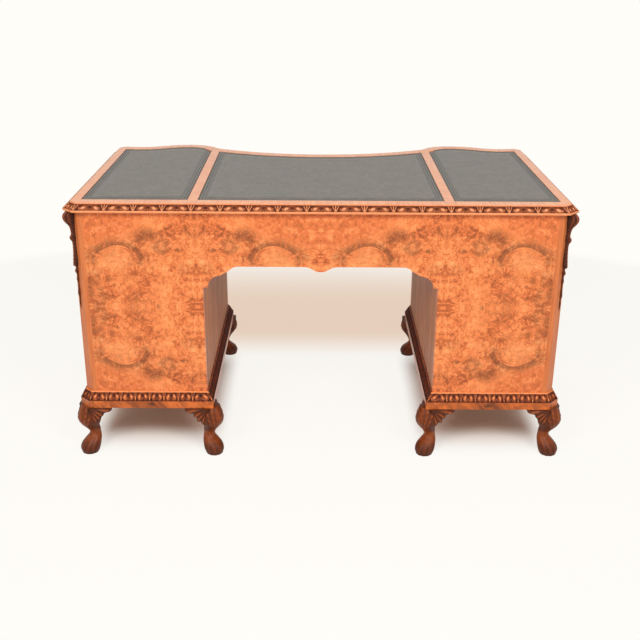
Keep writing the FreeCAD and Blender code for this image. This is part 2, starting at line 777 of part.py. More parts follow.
def handle_post(side, bend):
    """Rosette, neck and eye that hold one end of a handle, with the bolt through the front."""
    x = side * HANDLE_SPREAD
    seat = -bend * HANDLE_SPREAD**2 / 2 - SEAT_DEPTH
    outward = Vector(0, 1, 0)
    rosette = Part.makeCylinder(ROSETTE_RADIUS, ROSETTE_HEIGHT, Vector(x, seat, 0), outward)
    rosette = rosette.makeFillet(ROSETTE_HEIGHT / 3, [rosette.Edges[0]])
    neck = Part.makeCylinder(NECK_RADIUS, PIVOT_REACH - seat, Vector(x, seat, 0), outward)
    eye = Part.makeSphere(EYE_RADIUS, Vector(x, PIVOT_REACH, 0))
    hole = Part.makeCylinder(
        BAIL_RADIUS + PIVOT_CLEARANCE,
        4 * EYE_RADIUS,
        Vector(x - 2 * EYE_RADIUS, PIVOT_REACH, 0),
        Vector(1, 0, 0),
    )
    bolt_length = FRONT_THICKNESS + NUT_HEIGHT + seat
    bolt = Part.makeCylinder(SHANK_RADIUS, bolt_length, Vector(x, seat - bolt_length, 0), outward)
    return rosette.fuse([neck, eye, bolt]).cut(hole)


def bolt_nut(side, bend):
    """Nut on the bolt of a handle post, inside the drawer."""
    x = side * HANDLE_SPREAD
    seat = -bend * HANDLE_SPREAD**2 / 2 - SEAT_DEPTH
    end = seat - (FRONT_THICKNESS + NUT_HEIGHT + seat)
    nut = Part.makeCylinder(NUT_RADIUS, 2 * NUT_HEIGHT, Vector(x, end, 0), Vector(0, 1, 0))
    hole = Part.makeCylinder(SHANK_RADIUS, 2 * NUT_HEIGHT, Vector(x, end, 0), Vector(0, 1, 0))
    return nut.cut(hole)


def bail():
    """Drop handle: two pins in the eyes of the posts and a grip that hangs below them."""
    y = PIVOT_REACH
    pin = HANDLE_SPREAD - EYE_RADIUS
    wide = HANDLE_SPREAD + BAIL_OVERHANG
    bottom = -BAIL_DROP

    def bent(x, z):
        return Vector(x, y, z)

    turn = math.sqrt(0.5)
    shoulder = BAIL_SHOULDER
    bend = BAIL_BEND
    half = [
        line(bent(pin, 0), bent(wide - shoulder, 0)),
        Part.Arc(
            bent(wide - shoulder, 0),
            bent(wide - shoulder * (1 - turn), -shoulder * (1 - turn)),
            bent(wide, -shoulder),
        ).toShape(),
        line(bent(wide, -shoulder), bent(wide, bottom + bend)),
        Part.Arc(
            bent(wide, bottom + bend),
            bent(wide - bend * (1 - turn), bottom + bend * (1 - turn)),
            bent(wide - bend, bottom),
        ).toShape(),
        line(bent(wide - bend, bottom), bent(0, bottom)),
    ]
    path = Part.Wire(Part.__sortEdges__(half + [mirrored(edge) for edge in half]))
    start = Part.Wire([Part.makeCircle(BAIL_RADIUS, bent(pin, 0), Vector(1, 0, 0))])
    return path.makePipeShell([start], True, True)


def key_plate():
    """Round brass plate with its keyhole."""
    plate = Part.makeCylinder(KEYPLATE_RADIUS, KEYPLATE_HEIGHT, Vector(0, -SEAT_DEPTH, 0), Vector(0, 1, 0))
    reach = 2 * KEYPLATE_HEIGHT
    hole = Part.makeCylinder(KEYHOLE_RADIUS, 2 * reach, Vector(0, -reach, 0), Vector(0, 1, 0))
    slot = box(-KEYHOLE_RADIUS / 2, KEYHOLE_RADIUS / 2, -reach, reach, -KEYHOLE_SLOT, 0)
    return plate, plate.cut(hole.fuse(slot))


def drawer_tray(left, right, low, high):
    """Two sides, back and raised bottom of one drawer, behind its front."""
    floor = low + DRAWER_BOTTOM_RAISE
    room = DRAWER_BACK_ROOM
    inner = (left + DRAWER_SIDE, right - DRAWER_SIDE)
    return Part.makeCompound([
        behind_front(FRONT_THICKNESS, left, inner[0], room, low, high),
        behind_front(FRONT_THICKNESS, inner[1], right, room, low, high),
        box(*inner, room, room + DRAWER_SIDE, low, high),
        behind_front(FRONT_THICKNESS, *inner, room + DRAWER_SIDE, floor, floor + DRAWER_BOTTOM),
    ])


def drawer_lock(x, top):
    """Lock case on the back of a drawer front."""
    span = (x - LOCK_WIDTH / 2, x + LOCK_WIDTH / 2)
    heights = (top - LOCK_HEIGHT, top)
    lock = behind_front(FRONT_THICKNESS, *span, CENTRE_DEPTH / 2, *heights)
    return lock.cut(prism(front_outline, -FRONT_THICKNESS - LOCK_DEPTH, *heights))


def handle_set(x, height):
    """Posts, nuts and bail of one drop handle in its place on the desk."""
    bend = front_slope(x)[2]
    frame = handle_frame(x, height)
    posts = [placed(handle_post(side, bend), frame) for side in (-1, 1)]
    nuts = [placed(bolt_nut(side, bend), frame) for side in (-1, 1)]
    return posts, nuts, placed(bail(), frame)


def drawer(x0, x1, low, high, handles, inset):
    """Front, box, fittings and handles of one drawer in the opening between x0 and x1."""
    front_high = high - FRONT_GAP
    front = front_strip(FRONT_THICKNESS, x0 + FRONT_GAP, x1 - FRONT_GAP, low + FRONT_GAP, front_high)
    tray = drawer_tray(x0 + inset, x1 - inset, low + RUN_CLEARANCE, high - SIDE_DROP)
    sets = [handle_set(x, (low + high) / 2 + HANDLE_RISE) for x in handles]
    posts = [post for group, _, _ in sets for post in group]
    nuts = [nut for _, group, _ in sets for nut in group]
    key_x = (x0 + x1) / 2
    key_frame = handle_frame(key_x, front_high - KEYPLATE_DROP)
    blank, plate = key_plate()
    front = front.cut(posts + [placed(blank, key_frame)])
    brass = posts + [nut.cut(front) for nut in nuts]
    brass += [placed(plate, key_frame), drawer_lock(key_x, front_high)]
    return front, tray, Part.makeCompound(brass), [bail_shape for _, _, bail_shape in sets]


# Whole desk


def depth_middle():
    """Middle of the whole depth, from the knees at the back to the edge moulding at the swells."""
    corner, outward, _ = leg_places()["back_inner"]
    back = min(corner.y + outward.y * reach - radius for _, reach, radius in LEG_SECTIONS)
    return (back + SWELL_DEPTH + EDGE_REACH) / 2


def export(name, shape):
    """Writes one piece in the frame of the whole desk."""
    shape = shape.copy()
    shape.translate(Vector(0, -depth_middle(), 0))
    if not shape.isValid() or any(solid.Volume <= 0 for solid in shape.Solids):
        print("check", name)
    shape.exportStep(os.path.join("parts", name + ".step"))


def export_drawers():
    """Writes the seven drawers."""
    levels = {
        "upper": (UPPER_DRAWER, HIGHEST_DRAWER),
        "middle": (MIDDLE_DRAWER, MIDDLE_DRAWER_TOP),
        "lower": (LOWEST_DRAWER, LOWER_DRAWER_TOP),
    }
    handle_x = (STILE_X + POST_X) / 2
    for level, (low, high) in levels.items():
        front, tray, fittings, bails = drawer(STILE_X, POST_X, low, high, [handle_x], SIDE_INSET)
        for side in (-1, 1):
            name = f"{side_name(side)}_{level}"
            export(f"drawer_front_{name}", on_side(front, side))
            export(f"drawer_box_{name}", on_side(tray, side))
            export(f"drawer_fittings_{name}", on_side(fittings, side))
            export(f"drawer_handle_{name}", on_side(bails[0], side))
    half = KNEEHOLE_HALF_WIDTH
    places = [-CENTRE_HANDLE_X, CENTRE_HANDLE_X]
    front, tray, fittings, bails = drawer(-half, half, UPPER_DRAWER, HIGHEST_DRAWER, places, SIDE_CLEARANCE)
    export("drawer_front_centre", front)
    export("drawer_box_centre", tray)
    export("drawer_fittings_centre", fittings)
    export("drawer_handle_centre_left", bails[0])
    export("drawer_handle_centre_right", bails[1])


def main():
    """Builds every piece of the desk and writes it out."""
    os.makedirs("parts", exist_ok=True)
    export("top_board", top_board())
    export("top_border", top_border())
    for name, span in leather_spans().items():
        export(f"leather_{name}", leather(span))
    export("top_moulding", top_moulding())
    export("back_panel", back_panel())
    export("centre_rails", centre_rails())
    pieces = {
        "kneehole_panel": kneehole_panel(),
        "end_panel": end_panel(),
        "corner_posts": corner_posts(),
        "drawer_rails": drawer_rails(),
        "base_band": base_band(),
        "base_moulding": base_moulding(),
    }
    places = leg_places()
    legs = {name: leg(*place) for name, place in places.items()}
    for side in (-1, 1):
        for name, shape in pieces.items():
            export(f"{name}_{side_name(side)}", on_side(shape, side))
        for name, shape in legs.items():
            export(f"leg_{side_name(side)}_{name}", on_side(shape, side))
    floor = pedestal_floor()
    export("pedestal_floors", Part.makeCompound([floor, mirrored(floor)]))
    runners = drawer_runners()
    export("drawer_runners", Part.makeCompound(runners + [mirrored(runner) for runner in runners]))
    carvings = corner_carvings()
    export("corner_carvings", Part.makeCompound(carvings + [mirrored(carving) for carving in carvings]))
    export_drawers()


main()
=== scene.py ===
"""Looks of a kneehole desk: burr walnut, carved mouldings, cabriole legs, tooled leather and brass.

Sizes are in metres. +Z is up, the finished back faces -Y and the drawers face +Y.
"""
import logging
import math
from dataclasses import dataclass, field
from enum import Enum
from typing import Callable, Optional, Sequence, Union

import bmesh
import bpy
from mathutils import Matrix, Vector


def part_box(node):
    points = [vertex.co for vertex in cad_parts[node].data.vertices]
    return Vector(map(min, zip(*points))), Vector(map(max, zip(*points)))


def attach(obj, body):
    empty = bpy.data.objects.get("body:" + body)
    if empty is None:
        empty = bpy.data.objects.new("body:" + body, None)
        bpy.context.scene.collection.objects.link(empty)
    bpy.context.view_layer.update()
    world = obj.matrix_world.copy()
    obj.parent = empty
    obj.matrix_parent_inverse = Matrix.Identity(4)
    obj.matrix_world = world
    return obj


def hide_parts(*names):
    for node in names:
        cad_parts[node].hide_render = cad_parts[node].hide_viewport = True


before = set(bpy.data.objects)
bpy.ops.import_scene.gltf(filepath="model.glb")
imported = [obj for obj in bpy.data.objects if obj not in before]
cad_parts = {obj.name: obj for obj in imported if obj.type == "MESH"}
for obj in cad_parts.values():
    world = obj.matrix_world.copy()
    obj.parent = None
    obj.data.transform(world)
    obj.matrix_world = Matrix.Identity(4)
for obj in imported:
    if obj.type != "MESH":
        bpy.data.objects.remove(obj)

LOG = logging.getLogger("desk")
Pair = tuple[float, float]
Triple = tuple[float, float, float]
Colour = Triple
Number = Union["Value", float]
Shape = Callable[[float, float], tuple[Vector, float]]
Model = bmesh.types.BMesh
Material = bpy.types.Material

HALF_WIDTH = 0.692
END_BORDER = 0.026
BAR = 0.357
BAR_HALF = 0.014
FOLD_HEIGHT = 0.4685
MERGE = 1e-6
DIAGONAL = math.sqrt(0.5)
BACKDROP: Colour = (1.0, 0.985, 0.94)


class Axis(Enum):
    """Axis that a veneer or a grain follows."""

    X = 0
    Y = 1
    Z = 2


class Side(Enum):
    """Side of the desk, seen from its finished back."""

    LEFT = -1
    RIGHT = 1

    @property
    def word(self) -> str:
        """Word used in the names of the pieces."""
        return self.name.lower()


# Small helpers


def paint(*seen: float) -> Colour:
    """Turns red, green and blue as they are seen, from 0 to 255, into the renderer's linear light."""
    shares = [value / 255 for value in seen]
    return tuple(s / 12.92 if s <= 0.04045 else ((s + 0.055) / 1.055) ** 2.4 for s in shares)


def ease(value: float, low: float, high: float) -> float:
    """Smooth step from 0 at low to 1 at high."""
    share = min(1.0, max(0.0, (value - low) / (high - low)))
    return share * share * (3 - 2 * share)


def ridge(distance: float, width: float) -> float:
    """Rounded ridge that is 1 on its line and falls away over a width."""
    return math.exp(-((distance / width) ** 2))


def through(stops: Sequence[Pair], place: float) -> float:
    """Value of a smooth curve drawn through stops.

    Args:
        stops: Pairs of place and value, in order of place.
        place: Where the value is read.

    Returns:
        The value at that place.
    """
    last = len(stops) - 1
    index = next((i for i in range(last) if place <= stops[i + 1][0]), last - 1)

    def slope(i: int) -> float:
        """Slope of the curve at a stop."""
        low, high = stops[max(0, i - 1)], stops[min(last, i + 1)]
        return (high[1] - low[1]) / (high[0] - low[0])

    (x0, y0), (x1, y1) = stops[index], stops[index + 1]
    run = x1 - x0
    t = min(1.0, max(0.0, (place - x0) / run))
    bend = t * t * (3 - 2 * t)
    return (y0 + (y1 - y0) * bend + run * slope(index) * t * (1 - t) ** 2
            - run * slope(index + 1) * t * t * (1 - t))


def level(stops: Sequence[Pair], place: float) -> float:
    """Value of straight runs between stops.

    Args:
        stops: Pairs of place and value, in order of place.
        place: Where the value is read.

    Returns:
        The value at that place.
    """
    for low, high in zip(stops, stops[1:]):
        if place < high[0]:
            return low[1] + (high[1] - low[1]) * max(0.0, place - low[0]) / (high[0] - low[0])
    return stops[-1][1]


def stroke(point: Pair, start: Pair, end: Pair) -> float:
    """Distance from a point to a short straight chisel stroke.

    Args:
        point: The point.
        start: Start of the stroke.
        end: End of the stroke.

    Returns:
        The distance.
    """
    run = (end[0] - start[0], end[1] - start[1])
    reach = (point[0] - start[0], point[1] - start[1])
    share = (reach[0] * run[0] + reach[1] * run[1]) / (run[0] ** 2 + run[1] ** 2)
    share = min(1.0, max(0.0, share))
    return math.hypot(reach[0] - run[0] * share, reach[1] - run[1] * share)


# Shader expressions


def math_node(operation: str, swapped: bool = False) -> Callable[..., "Value"]:
    """Makes an operator of Value.

    Args:
        operation: Operation of the Math node that does its work.
        swapped: Whether the value comes after the other operand.

    Returns:
        The operator.
    """

    def apply(value: "Value", *others: Number) -> "Value":
        """Adds the Math node."""
        operands = (*others, value) if swapped else (value, *others)
        return value.shader.math(operation, *operands)

    return apply


class Value:
    """Socket of a shader that takes part in Python expressions.

    fold mirrors a value again and again about seams a width apart, and least and most are the smaller and the
    larger of two values.
    """

    __add__ = __radd__ = math_node("ADD")
    __sub__ = math_node("SUBTRACT")
    __rsub__ = math_node("SUBTRACT", swapped=True)
    __mul__ = __rmul__ = math_node("MULTIPLY")
    __truediv__ = math_node("DIVIDE")
    __pow__ = math_node("POWER")
    __abs__ = math_node("ABSOLUTE")
    fold = math_node("PINGPONG")
    least = math_node("MINIMUM")
    most = math_node("MAXIMUM")

    def __init__(self, shader: "Shader", socket: bpy.types.NodeSocket) -> None:
        """Wraps a socket of a shader."""
        self.shader = shader
        self.socket = socket

    def sine(self) -> "Value":
        """Sine, moved into 0 to 1."""
        return self.shader.math("SINE", self) * 0.5 + 0.5

    def step(self, low: float, high: float) -> "Value":
        """Smooth step, 0 at low and 1 at high."""
        sockets = {"Value": self, "From Min": low, "From Max": high}
        return self.shader.node("ShaderNodeMapRange", {"interpolation_type": "SMOOTHSTEP"}, sockets, "Result")

    def line(self, place: float, width: float) -> "Value":
        """Soft line, 1 where the value equals a place and 0 a width away."""
        return 1 - abs(self - place).step(0.0, width)


class Shader:
    """Builder of one procedural material, or of the room's own shading."""

    def __init__(self, name: str, room: Optional[bpy.types.World] = None) -> None:
        """Starts a material with its Principled shader, or a room with its background.

        Args:
            name: Name of the material.
            room: The room, if it is shaded instead.
        """
        self.material = room or bpy.data.materials.new(name)
        self.material.use_nodes = True
        self.tree = self.material.node_tree
        self.surface = self.tree.nodes["Background" if room else "Principled BSDF"]
        self.output = self.tree.nodes["World Output" if room else "Material Output"]

    def node(self, kind: str, settings: dict, sockets: dict, output: str = "") -> Value:
        """Adds a node.

        Args:
            kind: Type of the node.
            settings: Its properties, and a ramp's stops.
            sockets: Values or links of its inputs, by identifier.
            output: Identifier of the output that is wanted, or nothing for the first one.

        Returns:
            The output's value.
        """
        made = self.tree.nodes.new(kind)
        for key, value in settings.items():
            if key == "stops":
                self.set_stops(made.color_ramp, value)
            else:
                setattr(made, key, value)
        for key, value in sockets.items():
            self.feed(next(s for s in made.inputs if s.identifier == key), value)
        found = next((s for s in made.outputs if s.identifier == output), made.outputs[0])
        return Value(self, found)

    @staticmethod
    def set_stops(ramp: bpy.types.ColorRamp, stops: Sequence[tuple[float, Colour]]) -> None:
        """Gives a colour ramp its stops.

        Args:
            ramp: The ramp.
            stops: Pairs of place and colour.
        """
        while len(ramp.elements) < len(stops):
            ramp.elements.new(1.0)
        for element, (place, colour) in zip(ramp.elements, stops):
            element.position = place
            element.color = (*colour, 1.0)

    def feed(self, socket: bpy.types.NodeSocket, value: Union[Number, Colour]) -> None:
        """Links a value to a socket, or sets a plain one on it.

        Args:
            socket: The socket.
            value: What it is fed.
        """
        if isinstance(value, Value):
            self.tree.links.new(value.socket, socket)
        elif socket.type == "RGBA":
            socket.default_value = (*value, 1.0)
        else:
            socket.default_value = value

    def math(self, operation: str, *operands: Number) -> Value:
        """Adds a Math node on numbers and values."""
        sockets = dict(zip(("Value", "Value_001"), operands))
        return self.node("ShaderNodeMath", {"operation": operation}, sockets)

    def place(self) -> Value:
        """Object coordinates."""
        return self.node("ShaderNodeTexCoord", {}, {}, "Object")

    def split(self, vector: Value) -> tuple[Value, Value, Value]:
        """Three parts of a vector."""
        made = self.node("ShaderNodeSeparateXYZ", {}, {"Vector": vector}).socket.node
        return tuple(Value(self, socket) for socket in made.outputs)

    def vector(self, x: Number, y: Number, z: Number) -> Value:
        """Vector of three parts."""
        return self.node("ShaderNodeCombineXYZ", {}, {"X": x, "Y": y, "Z": z})

    def stretch(self, vector: Value, scale: Triple) -> Value:
        """Vector stretched along the axes."""
        sockets = {"Vector": vector, "Vector_001": scale}
        return self.node("ShaderNodeVectorMath", {"operation": "MULTIPLY"}, sockets)

    def noise(self, vector: Value, scale: float, detail: float = 2.0, rough: float = 0.5,
              twist: float = 0.0, output: str = "Fac") -> Value:
        """Cloudy noise of about 0.5 on the whole, with its scale in clouds to the metre."""
        inputs = {"Vector": vector, "Scale": scale, "Detail": detail, "Roughness": rough, "Distortion": twist}
        return self.node("ShaderNodeTexNoise", {}, inputs, output)

    def warp(self, vector: Value, scale: float, amount: float) -> Value:
        """Vector pushed about by a noise.

        Args:
            vector: Where it is read.
            scale: How many swirls there are in a metre.
            amount: How far it is pushed, in metres.

        Returns:
            The new vector.
        """
        push = self.noise(vector, scale, 2.0, 0.5, 0.0, "Color")
        sockets = {"Vector": push, "Vector_001": (amount,) * 3, "Vector_002": vector}
        return self.node("ShaderNodeVectorMath", {"operation": "MULTIPLY_ADD"}, sockets)

    def cells(self, vector: Value, scale: float) -> Value:
        """Distance to the nearest of scattered points."""
        return self.node("ShaderNodeTexVoronoi", {}, {"Vector": vector, "Scale": scale}, "Distance")

    def ramp(self, value: Value, stops: Sequence[tuple[float, Colour]]) -> Value:
        """Colour read from a ramp."""
        return self.node("ShaderNodeValToRGB", {"stops": stops}, {"Fac": value}, "Color")

    def mix(self, share: Number, first: Union[Value, Colour], second: Union[Value, Colour]) -> Value:
        """Colour between two, by the share of the second."""
        sockets = {"Factor_Float": share, "A_Color": first, "B_Color": second}
        return self.node("ShaderNodeMix", {"data_type": "RGBA"}, sockets, "Result_Color")

    def over(self, colour: Union[Value, Colour], *layers: tuple[Number, Colour]) -> Value:
        """Lays tints over a colour.

        Args:
            colour: The colour.
            layers: Share and colour of each tint, in turn.

        Returns:
            The colour under its tints.
        """
        for share, tint in layers:
            colour = self.mix(share, colour, tint)
        return colour

    def bump(self, height: Value, strength: float, distance: float) -> Value:
        """Normal tilted by a height."""
        sockets = {"Height": height, "Strength": strength, "Distance": distance}
        return self.node("ShaderNodeBump", {}, sockets)

    def finish(self, **sockets: Union[Number, Colour]) -> Material:
        """Feeds the shader's own sockets.

        Args:
            sockets: Values by the sockets' names, with _ for a space.

        Returns:
            The material.
        """
        for key, value in sockets.items():
            self.feed(self.surface.inputs[key.replace("_", " ")], value)
        return self.material


# Finishes


@dataclass(frozen=True)
class StraightGrain:
    """Polished wood whose grain runs straight along one axis."""

    name: str
    along: Axis
    light: Colour
    dark: Colour
    fine: float = 230.0
    slope: float = 0.0
    streak: float = 0.45
    polish: float = 0.34
    coat: float = 0.12
    specular: float = 0.32
    flame: Optional[Pair] = None

    def colour(self, shader: Shader) -> Value:
        """Colour of the grain: fine lines, broad streaks and small pores.

        Args:
            shader: The material being made.

        Returns:
            The colour.
        """
        scale = [1.0, 1.0, 1.0]
        scale[self.along.value] = 0.045
        x, y, z = shader.split(shader.place())
        if self.slope:
            x = x + z * self.slope
        spot = shader.stretch(shader.warp(shader.vector(x, y, z), 3.0, 0.02), tuple(scale))
        fine = shader.noise(spot, self.fine, 4.0, 0.6)
        broad = shader.noise(spot, self.fine / 9, 3.0, 0.55, 0.4)
        pores = shader.noise(spot, self.fine * 3.2, 2.0, 0.5).step(0.60, 0.72)
        figure = (fine * (1 - self.streak) + broad * self.streak).step(0.30, 0.70)
        if self.flame:
            return self.flamed(shader, figure, fine)
        pore = tuple(c * 0.45 for c in self.dark)
        return shader.over(self.dark, (figure, self.light), (pores * 0.30, pore))

    def flamed(self, shader: Shader, figure: Value, fine: Value) -> Value:
        """Colour of a strip that is quiet at its ends and flamed about a knot in its middle.

        Args:
            shader: The material being made.
            figure: Share of the light streaks.
            fine: Fine lines of the grain.

        Returns:
            The colour.
        """
        push = 0.018
        x, _, z = shader.split(shader.warp(shader.place(), 90.0, push))
        away = abs(abs(x - push / 2) - self.flame[0])
        middle = 1 - away.step(0.02, 0.13)
        mottle = shader.noise(shader.place(), 46.0, 4.0, 0.62).step(0.36, 0.64)
        share = figure * (middle * 0.75 + 0.10) + (mottle * 0.34 + fine * 0.62) * (1 - middle * 0.75)
        knot = ((away / 0.014) ** 2.0 + ((z - push / 2 - self.flame[1]) / 0.006) ** 2.0) ** 0.5
        knotted = (1 - knot.step(0.35, 1.25)) * 0.75
        joint = away.line(0.118, 0.0012) * 0.45
        return shader.over(self.dark, (share, self.light), (knotted, tuple(c * 0.40 for c in self.dark)),
                           (joint, self.dark))

    def material(self) -> Material:
        """Makes the material.

        Returns:
            The material.
        """
        shader = Shader(self.name)
        colour = self.colour(shader)
        wear = shader.noise(shader.place(), 18.0, 3.0)
        grain = shader.noise(shader.place(), 420.0, 2.0)
        return shader.finish(
            Base_Color=colour, Roughness=wear * 0.16 + (self.polish - 0.08),
            Normal=shader.bump(grain, 0.05, 0.0006), Coat_Weight=self.coat, Coat_Roughness=0.18,
            Specular_IOR_Level=self.specular)


@dataclass(frozen=True)
class BurrVeneer:
    """Book-matched burr walnut: four-way mirrored leaves with ringed lobes, clouds of eyes and plain corners.

    The lobes, clouds and knots are placed as on the leaves of the back, and other leaves stretch them.
    """

    name: str
    across: Axis
    leaf: float
    seam: float
    fold_height: float
    reach: float = 0.28
    seed: float = 0.0
    front: Optional[tuple[float, float, float, float]] = None
    drawn_leaf: float = 0.35
    drawn_reach: float = 0.28
    band: float = 0.0138
    lobe: tuple[Pair, Pair] = ((0.128, 0.136), (0.067, 0.046))
    knot: tuple[Pair, Pair] = ((0.301, 0.163), (0.008, 0.007))
    plain_corner: tuple[Pair, Pair] = ((0.0, 0.285), (0.215, 0.112))
    rings: tuple[Triple, ...] = ((1.0, 0.08, 0.70), (0.82, 0.05, 0.30), (1.16, 0.06, 0.36))
    curls: tuple[tuple[float, float, float, float, float], ...] = (
        (200.0, 2.0, 0.55, 0.0, 0.20), (74.0, 3.0, 0.58, 0.6, 0.38), (22.0, 4.0, 0.60, 0.0, 0.42))
    pale: Colour = paint(250, 166, 104)
    light: Colour = paint(236, 136, 76)
    middle: Colour = paint(210, 108, 55)
    deep: Colour = paint(150, 74, 34)
    plain: Colour = paint(220, 119, 64)
    cloud: Colour = paint(122, 68, 36)
    ink: Colour = paint(84, 40, 18)
    clouds: tuple[tuple[float, float, float, float, float], ...] = (
        (0.206, 0.207, 0.046, 0.022, 0.80), (0.252, 0.176, 0.032, 0.024, 0.85),
        (0.060, 0.030, 0.036, 0.095, 0.66), (0.236, 0.000, 0.014, 0.012, 0.75),
        (0.202, 0.146, 0.020, 0.040, 0.66), (0.320, 0.110, 0.030, 0.018, 0.40),
        (0.345, 0.215, 0.030, 0.020, 0.35), (0.060, 0.152, 0.012, 0.030, 0.60))

    @staticmethod
    def oval(u: Value, v: Value, place: Pair, size: Pair) -> Value:
        """Distance from the middle of an oval, 1 on its edge, from its place and half sizes."""
        wide, high = (u - place[0]) / size[0], (v - place[1]) / size[1]
        return (wide * wide + high * high) ** 0.5

    def wandering(self, shader: Shader, flat: Value, *pushes: Pair) -> tuple[Value, Value]:
        """Place on the leaf as it is drawn, pushed about.

        Args:
            shader: The material being made.
            flat: Plain place on this leaf.
            pushes: Scale and amount of each push.

        Returns:
            The place across and up.
        """
        for scale, amount in pushes:
            flat = shader.warp(flat, scale, amount)
        u, v, _ = shader.split(flat)
        mean = sum(amount for _, amount in pushes) / 2
        return (u - mean) * (self.drawn_leaf / self.leaf), (v - mean) * (self.drawn_reach / self.reach)

    def figure(self, shader: Shader, across: Value, height: Value) -> Value:
        """Colour of the matched leaves.

        Args:
            shader: The material being made.
            across: Place across the leaves.
            height: Height on the desk.

        Returns:
            The colour.
        """
        u = (across - self.seam).fold(self.leaf)
        v = abs(height - self.fold_height)
        flat = shader.vector(u, v, self.seed)
        swirled = shader.warp(flat, 9.0, 0.050)
        curled = shader.warp(swirled, 46.0, 0.013)
        soft = self.wandering(shader, flat, (11.0, 0.044), (50.0, 0.010))
        burred = self.oval(*soft, *self.plain_corner).step(0.80, 1.10)

        curls = 0.0
        for *noise, weight in self.curls:
            curls = shader.noise(curled, *noise) * weight + curls
        burr = shader.ramp(
            curls, ((0.39, self.deep), (0.465, self.middle), (0.525, self.light), (0.63, self.pale)))
        calm = shader.noise(swirled, 13.0, 3.0, 0.55, 0.8).step(0.46, 0.62)
        burr = shader.mix(calm * 0.50, burr, self.light)
        grain = shader.noise(shader.stretch(curled, (1.0, 0.08, 1.0)), 150.0, 3.0, 0.55)
        mottle = shader.noise(curled, 60.0, 4.0, 0.65, 0.5)
        straight = shader.over(
            self.middle, (grain.step(0.34, 0.62), self.plain), (mottle.step(0.50, 0.66) * 0.60, self.pale),
            (mottle.step(0.50, 0.34) * 0.55, self.deep))
        threads = shader.noise(curled, 70.0, 2.0, 0.5, 0.9).line(0.5, 0.035)
        hairs = shader.noise(curled, 52.0, 2.0, 0.5, 1.4).line(0.46, 0.030)
        colour = shader.over(
            shader.mix(burred * 0.92 + 0.06, straight, burr), (threads * (burred * 0.14 + 0.10), self.pale),
            (hairs * (burred * 0.24 + 0.10), self.deep))
        return self.clouded(shader, colour, burred, (flat, swirled, curled), soft)

    def clouded(self, shader: Shader, colour: Value, burred: Value, places: tuple[Value, Value, Value],
                soft: tuple[Value, Value]) -> Value:
        """Puts the ringed lobes, clouds, eyes and seams on the burr.

        Args:
            shader: The material being made.
            colour: Colour of the burr.
            burred: Where the burr is, 0 in the plain corners.
            places: Plain, swirled and curled places on the leaf.
            soft: Softly wandering places across and up.

        Returns:
            The colour.
        """
        flat, swirled, curled = places
        patchy = shader.noise(curled, 60.0, 4.0, 0.70).step(0.38, 0.60)
        smooth = self.wandering(shader, flat, (9.0, 0.040))
        lobe = self.oval(*smooth, *self.lobe)
        above = smooth[1].step(0.118, 0.160)
        shade = lobe.step(0.93, 1.05) * (1 - lobe.step(1.04, 1.75)) * (above * 0.70 + 0.18)
        for place_u, place_v, wide, high, depth in self.clouds:
            spot = 1 - self.oval(*soft, (place_u, place_v), (wide, high)).step(0.35, 1.35)
            shade = shade.most(spot * depth)
        wander = shader.noise(swirled, 15.0, 4.0, 0.62).step(0.52, 0.70) * burred * 0.42
        shade = shade.most(wander)

        rings = 0.0
        for place, width, depth in self.rings:
            rings = (lobe.line(place, width) * depth).most(rings)
        rings = rings * (above * 0.75 + 0.25) * (patchy * 0.5 + 0.5)
        heart = (1 - lobe.step(0.35, 0.98)) * (0.24 + patchy * 0.14)
        growth = (shader.noise(curled, 9.0, 1.0, 0.4) * 150.0).sine().step(0.70, 1.0)
        specks = 1 - shader.cells(curled, 120.0).step(0.05, 0.24)
        knot = 1 - self.oval(*soft, *self.knot).step(0.4, 1.4)
        u = shader.split(flat)[0]
        joint = u.line(0.0, 0.0010).most(u.line(self.leaf, 0.0010))
        return shader.over(
            colour, (shade * (patchy * 0.66 + 0.20), self.cloud), (rings, self.cloud), (heart, self.pale),
            (growth * burred * 0.14, self.cloud), (specks * shade.step(0.22, 0.60) * 0.55, self.ink),
            (knot * 0.62, self.ink), (joint * 0.26, self.ink))

    def banded(self, shader: Shader, inside: Value, across: Value, height: Value) -> Value:
        """Puts a crossbanded edge with a fine dark line round a drawer front.

        Args:
            shader: The material being made.
            inside: Colour inside the band.
            across: Place across the front, without its sign.
            height: Height on the desk.

        Returns:
            The colour with its band.
        """
        left, right, low, high = self.front
        from_side = (across - left).least(right - across)
        from_end = (height - low).least(high - height)
        along = shader.noise(shader.vector(across * 0.07, height, 0.3), 260.0, 4.0, 0.6)
        upright = shader.noise(shader.vector(across, height * 0.07, 0.7), 260.0, 4.0, 0.6)
        by_side = (from_end - from_side).step(-0.0004, 0.0004)
        grain = upright * (1 - by_side) + along * by_side
        band = shader.mix(grain.step(0.33, 0.66), self.deep, self.light)
        edge = from_side.least(from_end)
        colour = shader.mix(edge.step(self.band - 0.0003, self.band + 0.0003), band, inside)
        return shader.mix(edge.line(self.band, 0.0012) * 0.85, colour, self.ink)

    def material(self) -> Material:
        """Makes the material.

        Returns:
            The material.
        """
        shader = Shader(self.name)
        parts = shader.split(shader.place())
        across = parts[self.across.value]
        colour = self.figure(shader, across, parts[2])
        if self.front:
            colour = self.banded(shader, colour, abs(across), parts[2])
        wear = shader.noise(shader.place(), 14.0, 3.0)
        ripple = shader.noise(shader.place(), 60.0, 3.0)
        return shader.finish(
            Base_Color=colour, Roughness=wear * 0.16 + 0.30,
            Normal=shader.bump(ripple, 0.06, 0.0010), Coat_Weight=0.03, Coat_Roughness=0.12,
            Specular_IOR_Level=0.32)


